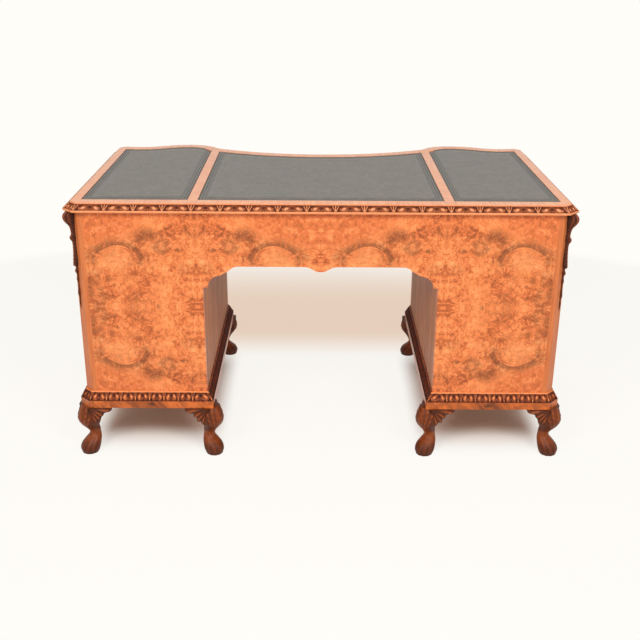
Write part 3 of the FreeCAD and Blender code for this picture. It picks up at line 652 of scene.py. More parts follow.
@dataclass(frozen=True)
class CarvedWood:
    """Stained carved walnut, dark in the hollows and light on the crests: partly stain and rubbed wear,
    partly painted shade in the hollows and painted highlights on the crests.
    """

    name: str
    hollow: Colour
    body: Colour
    crest: Colour
    plain: Colour
    polish: float = 0.36
    coat: float = 0.10
    broken: float = 0.22

    def material(self) -> Material:
        """Makes the material, which reads the pieces' own relief.

        Returns:
            The material.
        """
        shader = Shader(self.name)
        relief = shader.node("ShaderNodeAttribute", {"attribute_name": "relief"}, {}, "Fac")
        rub = shader.noise(shader.place(), 95.0, 4.0, 0.6)
        broad = shader.noise(shader.place(), 16.0, 3.0, 0.55)
        worn = relief + (rub - 0.5) * self.broken + (broad - 0.5) * 0.16
        # Colour by relief: the dark hollows are partly painted shade and the light crests partly painted
        # highlight.
        colour = shader.ramp(
            worn, ((0.10, self.hollow), (0.46, self.body), (0.80, self.crest), (0.97, self.plain)))
        streak = shader.noise(shader.stretch(shader.place(), (1.0, 1.0, 0.12)), 190.0, 4.0, 0.6)
        colour = shader.mix(streak.step(0.50, 0.72) * 0.35, colour, self.hollow)
        grain = shader.noise(shader.place(), 340.0, 3.0)
        return shader.finish(
            Base_Color=colour, Roughness=(self.polish + 0.34 + rub * 0.2) - relief * 0.40,
            Normal=shader.bump(grain, 0.10, 0.0008), Coat_Weight=relief.step(0.5, 0.9) * self.coat,
            Coat_Roughness=0.15, Specular_IOR_Level=0.24)


@dataclass(frozen=True)
class Crossbanding:
    """Border veneer whose grain runs across each strip, mitred at the corners."""

    name: str
    end: float = HALF_WIDTH - END_BORDER
    soft: float = 0.0005
    light: Colour = paint(252, 174, 120)
    dark: Colour = paint(228, 138, 84)
    line: Colour = paint(130, 72, 40)

    def material(self) -> Material:
        """Makes the material.

        Returns:
            The material.
        """
        shader = Shader(self.name)
        x, y, z = shader.split(shader.place())
        wide = abs(x)
        from_bar = abs(wide - BAR)
        at_end = wide.step(self.end - self.soft, self.end + self.soft)
        at_bar = from_bar.step(BAR_HALF + self.soft, BAR_HALF - self.soft)
        sideways = at_end.most(at_bar)
        over = shader.noise(shader.vector(x * 0.05, y, z), 240.0, 4.0, 0.6)
        down = shader.noise(shader.vector(x, y * 0.05, z), 240.0, 4.0, 0.6)
        broad = shader.noise(shader.place(), 22.0, 3.0, 0.6)
        grain = over * sideways + down * (1 - sideways)
        figure = (grain * 0.62 + broad * 0.38).step(0.34, 0.66)
        inlay = from_bar.line(BAR_HALF - 0.0008, 0.0009)
        colour = shader.over(self.dark, (figure, self.light), (inlay * 0.55, self.line))
        wear = shader.noise(shader.place(), 11.0, 4.0)
        return shader.finish(
            Base_Color=colour, Roughness=wear * 0.18 + 0.20,
            Normal=shader.bump(grain, 0.04, 0.0006), Coat_Weight=0.16, Coat_Roughness=0.12,
            Specular_IOR_Level=0.40)


@dataclass(frozen=True)
class ToolLeather:
    """Dark desk leather with a fine grain, broad creases and tooled lines."""

    name: str
    plain: Colour = paint(100, 96, 90)
    worn: Colour = paint(122, 117, 110)
    tooled: Colour = paint(30, 29, 28)

    def material(self) -> Material:
        """Makes the material, which reads the pieces' own tooling.

        Returns:
            The material.
        """
        shader = Shader(self.name)
        place = shader.place()
        tool = shader.node("ShaderNodeAttribute", {"attribute_name": "tooling"}, {}, "Fac")
        pebbles = shader.cells(shader.warp(place, 240.0, 0.002), 620.0)
        pushed = shader.warp(place, 16.0, 0.020)
        crease = shader.noise(shader.stretch(pushed, (0.40, 1.0, 1.0)), 190.0, 4.0, 0.62)
        rub = shader.noise(pushed, 24.0, 5.0, 0.68)
        colour = shader.over(
            self.plain, ((rub * 0.45 + crease * 0.55).step(0.43, 0.57), self.worn),
            (pebbles.step(0.30, 0.55) * 0.26, self.tooled), (tool, self.tooled))
        height = pebbles * 0.30 + crease * 1.3
        return shader.finish(
            Base_Color=colour, Roughness=rub * 0.14 + 0.38 + tool * 0.12,
            Normal=shader.bump(height, 0.34, 0.0014))


@dataclass(frozen=True)
class Brass:
    """Cast brass, rubbed bright on its crests and tarnished between."""

    name: str
    bright: Colour = paint(214, 172, 92)
    dull: Colour = paint(136, 96, 44)

    def material(self) -> Material:
        """Makes the material.

        Returns:
            The material.
        """
        shader = Shader(self.name)
        tarnish = shader.noise(shader.place(), 120.0, 4.0, 0.65)
        fine = shader.noise(shader.place(), 900.0, 2.0)
        colour = shader.mix(tarnish.step(0.36, 0.68), self.bright, self.dull)
        return shader.finish(
            Base_Color=colour, Metallic=1.0, Roughness=tarnish * 0.30 + 0.14,
            Normal=shader.bump(fine, 0.05, 0.0003))


class Finishes:
    """All the finishes of the desk, each made once."""

    def __init__(self) -> None:
        """Makes the materials."""
        honey, amber = paint(214, 126, 70), paint(186, 94, 46)
        self.back = BurrVeneer("burr_back", Axis.X, leaf=0.35, seam=0.0, fold_height=FOLD_HEIGHT).material()
        self.ends = BurrVeneer("burr_ends", Axis.Y, leaf=0.23, seam=-0.02, fold_height=FOLD_HEIGHT,
                               seed=0.7).material()
        self.posts = StraightGrain("walnut_upright", Axis.Z, honey, amber).material()
        self.kneehole = StraightGrain("walnut_kneehole", Axis.Z, paint(206, 130, 76), paint(136, 76, 38),
                                      polish=0.46, coat=0.0, specular=0.16).material()
        self.rails = StraightGrain("walnut_rails", Axis.X, honey, amber).material()
        self.band = StraightGrain("walnut_band", Axis.Z, paint(240, 124, 48), paint(88, 38, 12), fine=120.0,
                                  slope=0.9, streak=0.72, flame=(0.497, 0.168)).material()
        self.oak = StraightGrain("oak_lining", Axis.Y, paint(196, 156, 106), paint(160, 118, 74),
                                 polish=0.55, coat=0.0).material()
        self.border = Crossbanding("crossbanding").material()
        self.moulding = CarvedWood("carved_edge", paint(74, 30, 13), paint(146, 72, 36), paint(240, 160, 112),
                                   paint(238, 150, 98)).material()
        self.base = CarvedWood("carved_base", paint(46, 17, 6), paint(128, 54, 20), paint(232, 136, 76),
                               paint(236, 144, 86), broken=0.60).material()
        self.legs = CarvedWood("carved_legs", paint(36, 13, 4), paint(100, 44, 14), paint(172, 84, 30),
                               paint(200, 108, 48), polish=0.24, coat=0.34).material()
        self.drops = CarvedWood("carved_drops", paint(34, 14, 8), paint(92, 42, 20), paint(168, 92, 52),
                                paint(188, 108, 64)).material()
        self.leather = ToolLeather("tooled_leather").material()
        self.brass = Brass("dulled_brass").material()


# Plan of the desk


@dataclass(frozen=True)
class Run:
    """Straight or curved run of an outline, walked with the desk on the left."""

    start: Vector
    end: Vector
    centre: Optional[Vector] = None
    swelling: bool = True

    @property
    def radius(self) -> float:
        """Radius of a curved run."""
        return (self.start - self.centre).length

    @property
    def sweep(self) -> float:
        """Angle that a curved run turns through, with its sign.

        Returns:
            The angle, from minus to plus half a turn.
        """
        first, last = self.start - self.centre, self.end - self.centre
        turn = math.atan2(last.y, last.x) - math.atan2(first.y, first.x)
        return (turn + math.pi) % (2 * math.pi) - math.pi

    @property
    def length(self) -> float:
        """Length of the run."""
        return (self.end - self.start).length if self.centre is None else abs(self.sweep) * self.radius

    def at(self, distance: float) -> tuple[Vector, Vector]:
        """Point on the run and its outward direction.

        Args:
            distance: How far along the run.

        Returns:
            The point and the direction.
        """
        share = distance / self.length
        if self.centre is None:
            way = (self.end - self.start).normalized()
            return self.start.lerp(self.end, share), Vector((way.y, -way.x, 0.0))
        first = self.start - self.centre
        angle = math.atan2(first.y, first.x) + self.sweep * share
        out = Vector((math.cos(angle), math.sin(angle), 0.0))
        return self.centre + out * self.radius, out if self.swelling else -out


@dataclass(frozen=True)
class Length:
    """Length of a moulding between two mitres, made of runs that join smoothly."""

    runs: tuple[Run, ...]

    @property
    def total(self) -> float:
        """Whole length."""
        return sum(run.length for run in self.runs)

    def at(self, distance: float) -> tuple[Vector, Vector]:
        """Point along the length and its outward direction.

        Args:
            distance: How far along the length.

        Returns:
            The point and the direction.
        """
        for run in self.runs[:-1]:
            if distance <= run.length:
                return run.at(distance)
            distance -= run.length
        return self.runs[-1].at(min(distance, self.runs[-1].length))


@dataclass(frozen=True)
class Plan:
    """Plan of the desk, with depths measured from the finished back face of the body."""

    back: float
    half_width: float = HALF_WIDTH
    kneehole: float = 0.333
    hollow: float = 0.7705
    swell_rise: float = 0.044
    centre_radius: float = 0.720
    crease_step: float = 0.03166
    nose_angle: float = math.radians(52)
    cant: float = 0.020
    swell_place: float = 0.312
    hollow_place: float = 0.805
    nose_share: float = 0.273
    swell_share: float = 0.603

    def spot(self, x: float, depth: float) -> Vector:
        """Point of the plan in the frame of the desk."""
        return Vector((x, self.back + depth, 0.0))

    @property
    def width(self) -> float:
        """Width of a pedestal."""
        return self.half_width - self.kneehole

    @property
    def swell_radius(self) -> float:
        """Radius of the swell in front of a pedestal."""
        run = (self.hollow_place - self.swell_place) * self.width
        return self.swell_share * (run**2 + self.swell_rise**2) / (2 * self.swell_rise)

    @property
    def hollow_radius(self) -> float:
        """Radius of the hollow by the end."""
        return self.swell_radius * (1 - self.swell_share) / self.swell_share

    @property
    def nose_radius(self) -> float:
        """Radius of the nose beside the kneehole."""
        return self.nose_share * self.width

    @property
    def swell_x(self) -> float:
        """Place of the swell."""
        return self.kneehole + self.swell_place * self.width

    @property
    def hollow_x(self) -> float:
        """Place of the hollow by the end."""
        return self.kneehole + self.hollow_place * self.width

    @property
    def swell_depth(self) -> float:
        """Depth of the desk at the swell."""
        return self.hollow + self.swell_rise

    @property
    def nose(self) -> Vector:
        """End of the nose, where its straight return begins."""
        turn = Vector((-math.sin(self.nose_angle), math.cos(self.nose_angle), 0.0))
        return self.spot(self.swell_x, self.swell_depth - self.nose_radius) + turn * self.nose_radius

    @property
    def return_way(self) -> Vector:
        """Direction of the straight return from the nose towards the back."""
        return Vector((-math.cos(self.nose_angle), -math.sin(self.nose_angle), 0.0))

    @property
    def crease(self) -> Vector:
        """Fold between a pedestal and the hollow over the kneehole."""
        return self.nose + self.return_way * self.crease_step

    @property
    def centre(self) -> Vector:
        """Centre of the hollow over the kneehole."""
        rise = math.sqrt(self.centre_radius**2 - self.crease.x**2)
        return Vector((0.0, self.crease.y + rise, 0.0))

    def end_depth(self) -> float:
        """Depth where the hollow meets the canted corner."""
        run = self.half_width - self.cant - self.hollow_x
        return self.hollow + self.hollow_radius - math.sqrt(self.hollow_radius**2 - run**2)

    def front_cant(self, offset: float = 0.0) -> tuple[Vector, Vector]:
        """Ends of the front canted corner, at the end of the desk and at the drawer side.

        Args:
            offset: How far the corner is moved out.

        Returns:
            The two ends.
        """
        total = self.half_width - self.cant + self.end_depth() + math.sqrt(2) * offset
        rest = self.hollow_x + self.hollow + self.hollow_radius - total
        radius = self.hollow_radius - offset
        run = (math.sqrt(2 * radius**2 - rest**2) - rest) / 2
        outer = self.half_width + offset
        inner = self.hollow_x + run
        return self.spot(outer, total - outer), self.spot(inner, total - inner)

    def back_cant(self) -> tuple[Vector, Vector]:
        """Ends of the back canted corner, at the back and at the end of the desk."""
        return self.spot(self.half_width - self.cant, 0.0), self.spot(self.half_width, self.cant)

    def wave(self) -> tuple[Run, Run, Run]:
        """Hollow, swell and nose of the right pedestal.

        Returns:
            The three runs, from the end towards the kneehole.
        """
        inner = self.front_cant()[1]
        hollow_centre = self.spot(self.hollow_x, self.hollow + self.hollow_radius)
        swell_centre = self.spot(self.swell_x, self.swell_depth - self.swell_radius)
        nose_centre = self.spot(self.swell_x, self.swell_depth - self.nose_radius)
        turn = swell_centre + (hollow_centre - swell_centre).normalized() * self.swell_radius
        peak = self.spot(self.swell_x, self.swell_depth)
        return (Run(inner, turn, hollow_centre, False), Run(turn, peak, swell_centre),
                Run(peak, self.nose, nose_centre))

    def around_end(self) -> list[Length]:
        """Lengths from the back round the end to the drawer side, between their mitres."""
        corners = (*self.back_cant(), *self.front_cant())
        return [Length((Run(start, end),)) for start, end in zip(corners, corners[1:])]

    def around_pedestal(self) -> list[Length]:
        """Lengths round the right pedestal, between its mitres.

        Returns:
            The lengths, from the kneehole along the back.
        """
        inner_back = self.spot(self.kneehole, 0.0)
        share = (self.nose.x - self.kneehole) / math.cos(self.nose_angle)
        inner_front = self.nose + self.return_way * share
        return [
            Length((Run(inner_back, self.back_cant()[0]),)), *self.around_end(),
            Length((*self.wave(), Run(self.nose, inner_front))), Length((Run(inner_front, inner_back),))]

    def around_top(self) -> list[Length]:
        """Lengths round the whole top, between its mitres.

        Returns:
            The lengths, from the left along the back.
        """
        back = self.back_cant()[0]
        right = [*self.around_end(), Length((*self.wave(), Run(self.nose, self.crease)))]
        left = [Length(tuple(mirrored_run(run) for run in reversed(piece.runs))) for piece in reversed(right)]
        centre = Length((Run(self.crease, flipped(self.crease), self.centre, False),))
        return [Length((Run(flipped(back), back),)), *right, centre, *left]

    def front(self, x: float, offset: float) -> Vector:
        """Point of the drawer side of the right pedestal at x, moved out by an offset.

        Args:
            x: Place across the desk.
            offset: How far the point is moved out.

        Returns:
            The point.
        """
        if x > self.swell_x:
            lean = (self.hollow_x - self.swell_x) / (self.swell_radius + self.hollow_radius)
            if x < self.swell_x + (self.swell_radius + offset) * lean:
                rise = math.sqrt((self.swell_radius + offset) ** 2 - (x - self.swell_x) ** 2)
                return self.spot(x, self.swell_depth - self.swell_radius + rise)
            rise = math.sqrt((self.hollow_radius - offset) ** 2 - (x - self.hollow_x) ** 2)
            return self.spot(x, self.hollow + self.hollow_radius - rise)
        radius = self.nose_radius + offset
        rise = math.sqrt(max(radius**2 - (x - self.swell_x) ** 2, 0.0))
        return self.spot(x, self.swell_depth - self.nose_radius + rise)


def flipped(point: Vector) -> Vector:
    """Point on the other side of the kneehole."""
    return Vector((-point.x, point.y, point.z))


def mirrored_run(run: Run) -> Run:
    """Run on the other side of the kneehole, walked the same way round the desk."""
    centre = None if run.centre is None else flipped(run.centre)
    return Run(flipped(run.end), flipped(run.start), centre, run.swelling)


# Making of pieces


def placed(name: str, data: bpy.types.ID) -> bpy.types.Object:
    """Puts a mesh, a lamp or a camera into the scene.

    Args:
        name: Name of the object.
        data: What it holds.

    Returns:
        The object.
    """
    made = bpy.data.objects.new(name, data)
    bpy.context.scene.collection.objects.link(made)
    return made


def mesh_of(name: str, bm: Model, material: Material) -> bpy.types.Mesh:
    """Turns what was modelled into a mesh with a finish.

    Args:
        name: Name of the mesh.
        bm: What was modelled, which is freed.
        material: The finish.

    Returns:
        The mesh.
    """
    mesh = bpy.data.meshes.new(name)
    bm.to_mesh(mesh)
    bm.free()
    mesh.materials.append(material)
    return mesh


def sheet_of(bm: Model, columns: int, rows: int, shape: Shape,
             layer: str = "relief") -> list[bmesh.types.BMVert]:
    """Adds a grid and moves each of its points to a shaped surface.

    Args:
        bm: Mesh that the grid is added to.
        columns: Number of divisions along.
        rows: Number of divisions across.
        shape: Gives the point and the relief at two shares from 0 to 1.
        layer: Name of the attribute that keeps the relief.

    Returns:
        The grid's points.
    """
    relief = bm.verts.layers.float.get(layer) or bm.verts.layers.float.new(layer)
    points = bmesh.ops.create_grid(bm, x_segments=columns, y_segments=rows, size=0.5)["verts"]
    for point in points:
        point.co, point[relief] = shape(point.co.x + 0.5, point.co.y + 0.5)
    return points


@dataclass
class Maker:
    """Turns finished meshes into pieces of the desk and puts the finishes on the carried-over nodes."""

    finishes: Finishes
    made: int = 0

    def piece(self, name: str, bm: Model, material: Material, node: str,
              slot: str) -> None:
        """Makes a piece of what was modelled, and puts it on the carcass in place of a plain node.

        Args:
            name: Name of the piece.
            bm: What was modelled, which is freed.
            material: Its finish.
            node: Node that it stands for.
            slot: Material slot of the record; not used.
        """
        bmesh.ops.remove_doubles(bm, verts=bm.verts, dist=MERGE)
        bmesh.ops.recalc_face_normals(bm, faces=bm.faces)
        mesh = mesh_of(name, bm, material)
        mesh.shade_smooth()
        made = placed(name, mesh)
        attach(made, "carcass")
        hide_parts(node)
        self.made += 1
        LOG.info("%s: %d faces in place of %s", name, len(mesh.polygons), node)

    def dress(self, words: str, material: Material) -> None:
        """Puts a finish on every node whose name starts with the words.

        Args:
            words: Start of the nodes' names.
            material: The finish.
        """
        for name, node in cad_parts.items():
            if name.startswith(words):
                node.data.materials.clear()
                node.data.materials.append(material)
                LOG.info("%s: %s", name, material.name)


@dataclass(frozen=True)
class LeafCarving:
    """Running carving of paired curled leaves with a fan of three strokes between the pairs.

    It is drawn in millimetres, and each moulding stretches the drawn period to its own. A stroke has a start,
    an end, a width and a height.
    """

    period: float
    face: float = 20.8
    drawn_period: float = 78.0
    leaf_place: float = 24.0
    strokes: tuple[tuple[Pair, Pair, float, float], ...] = (
        ((0.0, -8.5), (0.0, 8.5), 1.7, 1.0), ((1.2, -8.5), (7.6, 8.0), 1.7, 0.92),
        ((39.0, -9.0), (39.0, -3.0), 1.6, 0.7))

    def height(self, along: float, across: float) -> float:
        """Height of the carving.

        Args:
            along: Place along the moulding, in periods.
            across: Place across the carved face, from 0 at its foot to 1 at its head.

        Returns:
            The height, from 0 in the hollows to 1 on the crests.
        """
        beat = along - math.floor(along)
        a = (0.5 - abs(beat - 0.5)) * self.drawn_period
        b = (across - 0.5) * self.face
        cuts = [ridge(stroke((a, b), start, end), width) * height
                for start, end, width, height in self.strokes]
        return min(1.0, max(self.leaf(a - self.leaf_place, b), *cuts))

    @staticmethod
    def leaf(a: float, b: float) -> float:
        """Height of one curled leaf about its own middle.

        Args:
            a: Place along, from the leaf's middle.
            b: Place across, from its middle.

        Returns:
            The height, from 0 to 1.
        """
        around = math.hypot(a / 12.6, (b + 0.4) / 8.3)
        body = 0.16 + 0.26 * math.sqrt(max(0.0, 1 - around**2)) if around < 1 else 0.0
        coil = math.hypot(a - 2.6, (b - 1.2) * 1.25)
        turn = math.atan2(b - 1.2, a - 2.6)
        groove = ridge(coil - 4.6 - 0.9 * turn, 1.15)
        rim = ridge((around - 0.90) * 9.0, 1.9) * (0.25 + 0.75 * ease(-b - a * 0.25, -5.0, 3.0))
        lump = ridge(math.hypot((a - 0.45 * b + 1.5) / 1.2, b + 0.3), 7.2)
        tail = ridge(stroke((a, b), (5.5, 5.6), (13.4, 8.6)), 1.8) * 0.85
        return max(body * (1 - 0.9 * groove), rim * 0.70, lump, tail * 0.60)


@dataclass
class Moulding:
    """Carved moulding in mitred lengths: plain steps and a carved face."""

    lengths: list[Length]
    carving: LeafCarving
    profile: tuple[Triple, ...]
    depth: float
    spacing: float
    mitre_ease: float = 0.030
    # Painted shade: share by which the relief colour darkens on lengths that face sideways (ends, cants,
    # kneehole sides).
    dulled: float = 0.0
    face_steps: int = 13
    # Relief of plain rows flagged -2: darker, a painted shade.
    stained: float = 0.34

    def stations(self) -> list[Triple]:
        """Rows of the section: reach, height and share across the carved face, -1 if plain, -2 if plain and
        darkened as painted shade.

        Returns:
            The rows, from the foot of the section.
        """
        rows = []
        for (reach, height, carved), (next_reach, next_height, _) in zip(self.profile, self.profile[1:]):
            steps = self.face_steps if carved > 0 else 1
            for share in (step / steps for step in range(steps)):
                across = share if carved > 0 else carved - 1.0
                rows.append((
                    reach + (next_reach - reach) * share, height + (next_height - height) * share, across))
        reach, height, _ = self.profile[-1]
        return rows + [(reach, height, -1.0)]

    def mitres(self, index: int) -> Pair:
        """How far the ends of a length run on for each unit of reach.

        Args:
            index: Which length it is.

        Returns:
            The run at its start and at its end.
        """
        count = len(self.lengths)
        length = self.lengths[index]
        joins = (self.lengths[index - 1], self.lengths[(index + 1) % count])
        ends = (length.at(0.0)[1], length.at(length.total)[1])
        others = (joins[0].at(joins[0].total)[1], joins[1].at(0.0)[1])
        runs = []
        for own, other in zip(ends, others):
            way = Vector((-own.y, own.x, 0.0))
            runs.append(((own + other) / (1 + own.dot(other))).dot(way))
        return runs[0], runs[1]

    def build(self) -> Model:
        """Models every length.

        Returns:
            The model.
        """
        bm = bmesh.new()
        rows = self.stations()
        face = self.face_normal()
        for index, length in enumerate(self.lengths):
            self.build_length(bm, length, self.mitres(index), rows, face)
        return bm

    def face_normal(self) -> Pair:
        """Outward direction of the carved face in its section.

        Returns:
            The parts of the direction out and up.
        """
        first = next(index for index, row in enumerate(self.profile) if row[2] > 0)
        (reach, height, _), (next_reach, next_height, _) = self.profile[first:first + 2]
        run = math.hypot(next_reach - reach, next_height - height)
        return (next_height - height) / run, (reach - next_reach) / run

    def build_length(self, bm: Model, length: Length, mitre: Pair,
                     rows: list[Triple], face: Pair) -> None:
        """Models one length of the moulding.

        Args:
            bm: Mesh that it is added to.
            length: Its line in plan.
            mitre: How far its ends run on for each unit of reach.
            rows: Rows of the section.
            face: Outward direction of the carved face in the section.
        """
        total = length.total
        beats = max(1, round(total / self.carving.period))
        ramp = min(self.mitre_ease, total / 2)

        def shape(along: float, across: float) -> tuple[Vector, float]:
            """Point of the moulding and its relief.

            Args:
                along: Share of the length.
                across: Share of the section.

            Returns:
                The point and its relief.
            """
            reach, height, carved = rows[round(across * (len(rows) - 1))]
            distance = along * total
            point, out = length.at(distance)
            way = Vector((-out.y, out.x, 0.0))
            # Plain rows are light; rows flagged -2 take the darker painted-shade relief.
            relief = 1.0 if carved > -1.5 else self.stained
            if carved >= 0:
                crest = self.carving.height(along * beats, carved)
                fade = ease(carved, 0.0, 0.06) * (1 - ease(carved, 0.95, 1.0))
                sink = self.depth * (1 - crest) * fade
                reach -= sink * face[0]
                height -= sink * face[1]
                # The carving's height sets its relief colour, so hollows take painted shade and crests
                # painted highlight, as well as stain and wear.
                relief = 0.06 + 0.80 * crest if fade > 0 else 0.2
            # Painted shade: lengths facing sideways, rather than to the back or the drawers, are darkened.
            relief *= 1 - self.dulled * ease(1 - abs(out.y), 0.05, 0.60)
            run = mitre[0] * (1 - ease(distance, 0.0, ramp)) + mitre[1] * ease(distance, total - ramp, total)
            return point + out * reach + way * (run * reach) + Vector((0.0, 0.0, height)), relief

        sheet_of(bm, max(4, round(total / self.spacing)), len(rows) - 1, shape)


@dataclass
class Edges:
    """Carved mouldings round the top and the bases of the pedestals."""

    plan: Plan
    top_low: float = 0.747
    base_low: float = 0.177

    def build(self, maker: Maker) -> None:
        """Models the mouldings and puts them in place of the plain ones.

        Args:
            maker: Maker of the pieces.
        """
        # In a profile, a row flagged -1 is a plain row darkened as painted shade.
        low = self.top_low
        top = Moulding(
            self.plan.around_top(), LeafCarving(0.0783),
            ((0.0, low, 0), (0.0199, low, 0), (0.0205, low + 0.0006, 0), (0.0205, low + 0.0052, 0),
             (0.0199, low + 0.0058, 0), (0.0186, low + 0.0060, 1), (0.0026, low + 0.0200, -1),
             (0.0015, low + 0.0210, 0), (0.0, low + 0.0210, 0)), depth=0.0038, spacing=0.0013)
        maker.piece("carved_edge_top", top.build(), maker.finishes.moulding, "top_moulding", "carved_walnut")
        low = self.base_low
        for side in Side:
            # The base moulding is darkened as painted shade where its lengths face sideways.
            base = Moulding(
                self.plan.around_pedestal(), LeafCarving(0.0445),
                ((0.0, low, -1), (0.0186, low, -1), (0.0186, low + 0.0010, -1), (0.0180, low + 0.0016, 1),
                 (0.0050, low + 0.0240, 0), (0.0040, low + 0.0246, 0), (0.0040, low + 0.0257, 0),
                 (0.0036, low + 0.0260, 0), (0.0, low + 0.0260, 0)),
                depth=0.0036, spacing=0.0014, dulled=0.50)
            bm = base.build()
            put_on(bm, side)
            maker.piece(f"carved_base_{side.word}", bm, maker.finishes.base, f"base_moulding_{side.word}",
                        "carved_walnut")


def put_on(bm: Model, side: Side) -> None:
    """Moves a mesh made for the right to the side asked for.

    Args:
        bm: The model.
        side: The side.
    """
    if side is Side.LEFT:
        bmesh.ops.scale(bm, vec=(-1.0, 1.0, 1.0), verts=bm.verts)
        bmesh.ops.reverse_faces(bm, faces=bm.faces)


@dataclass(frozen=True)
class EarPlace:
    """Line that an ear of a leg follows under the band."""

    way: Vector
    out: Vector
    face: float
    curve: Optional[Callable[[float], Vector]] = None


@dataclass
class CabrioleLeg:
    """Cabriole leg with a carved knee, two leafy ears and a toed foot.

    A section has its share of the height, and its reach and radius in millimetres. The edge of an ear is
    drawn in degrees and millimetres.
    """

    name: str
    corner: Vector
    outward: Vector
    ears: tuple[EarPlace, EarPlace]
    ear_scale: float = 1.0
    height: float = 0.155
    rings: int = 96
    ear_grid: tuple[int, int] = (66, 22)
    ear_turn: float = 75.0
    ear_lobe: float = 17.0
    ear_depth: float = 0.020
    ear_swell: float = 0.015
    ear_cut: float = 0.0045
    ear_eye: Triple = (0.080, 0.0075, 0.0050)
    knee_start: float = 0.45
    knee_cut: float = 0.0016
    toes: Triple = (0.30, 0.88, 1.46)
    toe_cut: float = 0.0012
    sections: tuple[Triple, ...] = (
        (0.00, -8.0, 24.0), (0.04, -8.5, 27.0), (0.11, -10.0, 29.5), (0.19, -14.5, 28.5),
        (0.27, -22.5, 24.0), (0.34, -29.0, 18.5), (0.40, -30.0, 16.5), (0.48, -26.0, 19.5),
        (0.56, -19.5, 24.5), (0.66, -16.0, 33.0), (0.76, -14.5, 35.0), (0.89, -17.0, 32.5),
        (1.00, -19.0, 27.0))
    ear_edge: tuple[Pair, ...] = (
        (0.0, 90.0), (6.0, 90.0), (11.0, 84.0), (18.0, 70.0), (26.0, 63.0), (38.0, 61.0), (52.0, 64.0),
        (75.0, 60.0))

    def post(self, bm: Model) -> None:
        """Models the knee, ankle and foot.

        Args:
            bm: Model that it is added to.
        """
        across = Vector((-self.outward.y, self.outward.x, 0.0))
        reaches = [(share, reach / 1000) for share, reach, _ in self.sections]
        radii = [(share, radius / 1000) for share, _, radius in self.sections]

        def shape(around: float, up: float) -> tuple[Vector, float]:
            """Point of the leg and its relief.

            Args:
                around: Share of the way round.
                up: Share of the height.

            Returns:
                The point and its relief.
            """
            angle = (around - 0.5) * 2 * math.pi
            sink, relief = self.carve(angle, up)
            radius = through(radii, up) - sink
            middle = self.corner + self.outward * through(reaches, up)
            reach = self.outward * math.cos(angle) + across * math.sin(angle)
            return middle + reach * radius + Vector((0.0, 0.0, self.height * up)), relief

        sheet_of(bm, self.rings, self.rings, shape)
        bmesh.ops.remove_doubles(bm, verts=bm.verts, dist=MERGE)
        rim = [edge for edge in bm.edges if edge.is_boundary]
        bmesh.ops.holes_fill(bm, edges=rim, sides=2 * self.rings)

    def carve(self, angle: float, up: float) -> Pair:
        """Depth and relief of the carving on the leg.

        Args:
            angle: Angle round the leg from its outward direction.
            up: Share of the height.

        Returns:
            How far the surface sinks, and the relief from 0 to 1.
        """
        wide = abs(angle)
        rise = max(0.0, up - self.knee_start) / (1 - self.knee_start)
        spread = wide / (0.16 + 1.75 * rise**0.8)
        leaf = 1 - ease(spread, 0.92, 1.04)
        flutes = 0.5 + 0.5 * math.cos(2 * math.pi * (spread * 3.4 + 0.9 * rise))
        nicks = 0.75 + 0.25 * math.cos(2 * math.pi * (rise * 5.0 - spread * 1.2))
        carved = leaf * max(flutes * nicks, ridge(wide, 0.10)) + (1 - leaf) * 0.12
        knee = ease(up, 0.44, 0.52)

        foot = 1 - ease(up, 0.16, 0.30)
        lines = max(ridge(wide - place - 0.5 * up, 0.11) for place in self.toes)
        groove = foot * max(lines, ridge(up - 0.045, 0.018) * (1 - ease(wide, 1.6, 2.2)))
        sink = self.knee_cut * knee * (1 - carved) + self.toe_cut * groove
        inner = 0.45 + 0.55 * ease(wide, 0.35, 1.1)
        relief = 0.58 + knee * inner * (0.32 * carved - 0.26) - 0.20 * groove - 0.12 * foot
        return sink, relief

    def ear(self, bm: Model, place: EarPlace) -> None:
        """Models one ear as a fan of lobed leaves under the band.

        Args:
            bm: Mesh that it is added to.
            place: Line that it follows.
        """
        start = self.corner + self.outward * (self.sections[-1][1] / 1000)
        face = place.face - start.dot(place.out)
        eye_run, eye_drop, eye_size = self.ear_eye

        def shape(turn: float, share: float) -> tuple[Vector, float]:
            """Point on the front of the ear and its relief.

            Args:
                turn: Share of the fan's turn.
                share: Share of the way out to the edge.

            Returns:
                The point and its relief.
            """
            angle = turn * self.ear_turn
            phase = angle / self.ear_lobe - 0.85 * share
            lobe = abs(math.cos(math.pi * phase)) ** 0.55
            edge = through(self.ear_edge, angle) * self.ear_scale * (0.88 + 0.12 * lobe) / 1000
            run = edge * share * math.cos(math.radians(angle))
            drop = edge * share * math.sin(math.radians(angle))
            vein = 0.55 + 0.45 * math.cos(4 * math.pi * phase)
            leaves = lobe * (0.55 + 0.45 * vein) * (0.45 + 0.55 * ease(share, 0.30, 0.62))
            eye = ridge(math.hypot(run - eye_run * self.ear_scale, drop - eye_drop), eye_size)
            crest = max(leaves, eye)
            swell = self.ear_swell * (1 - ease(run, 0.018, 0.080)) * (1 - 0.4 * ease(drop, 0.02, 0.055))
            rim = ease(share, 0.84, 1.0)
            out = face + swell + self.ear_cut * (crest - 0.7) - 0.004 * rim * rim
            point = start + place.way * run + place.out * out
            if place.curve is not None:
                point.y = place.curve(point.x).y + out - face
            point.z = self.height - 0.0004 - drop
            return point, 0.14 + 0.60 * crest * (1 - 0.4 * rim)

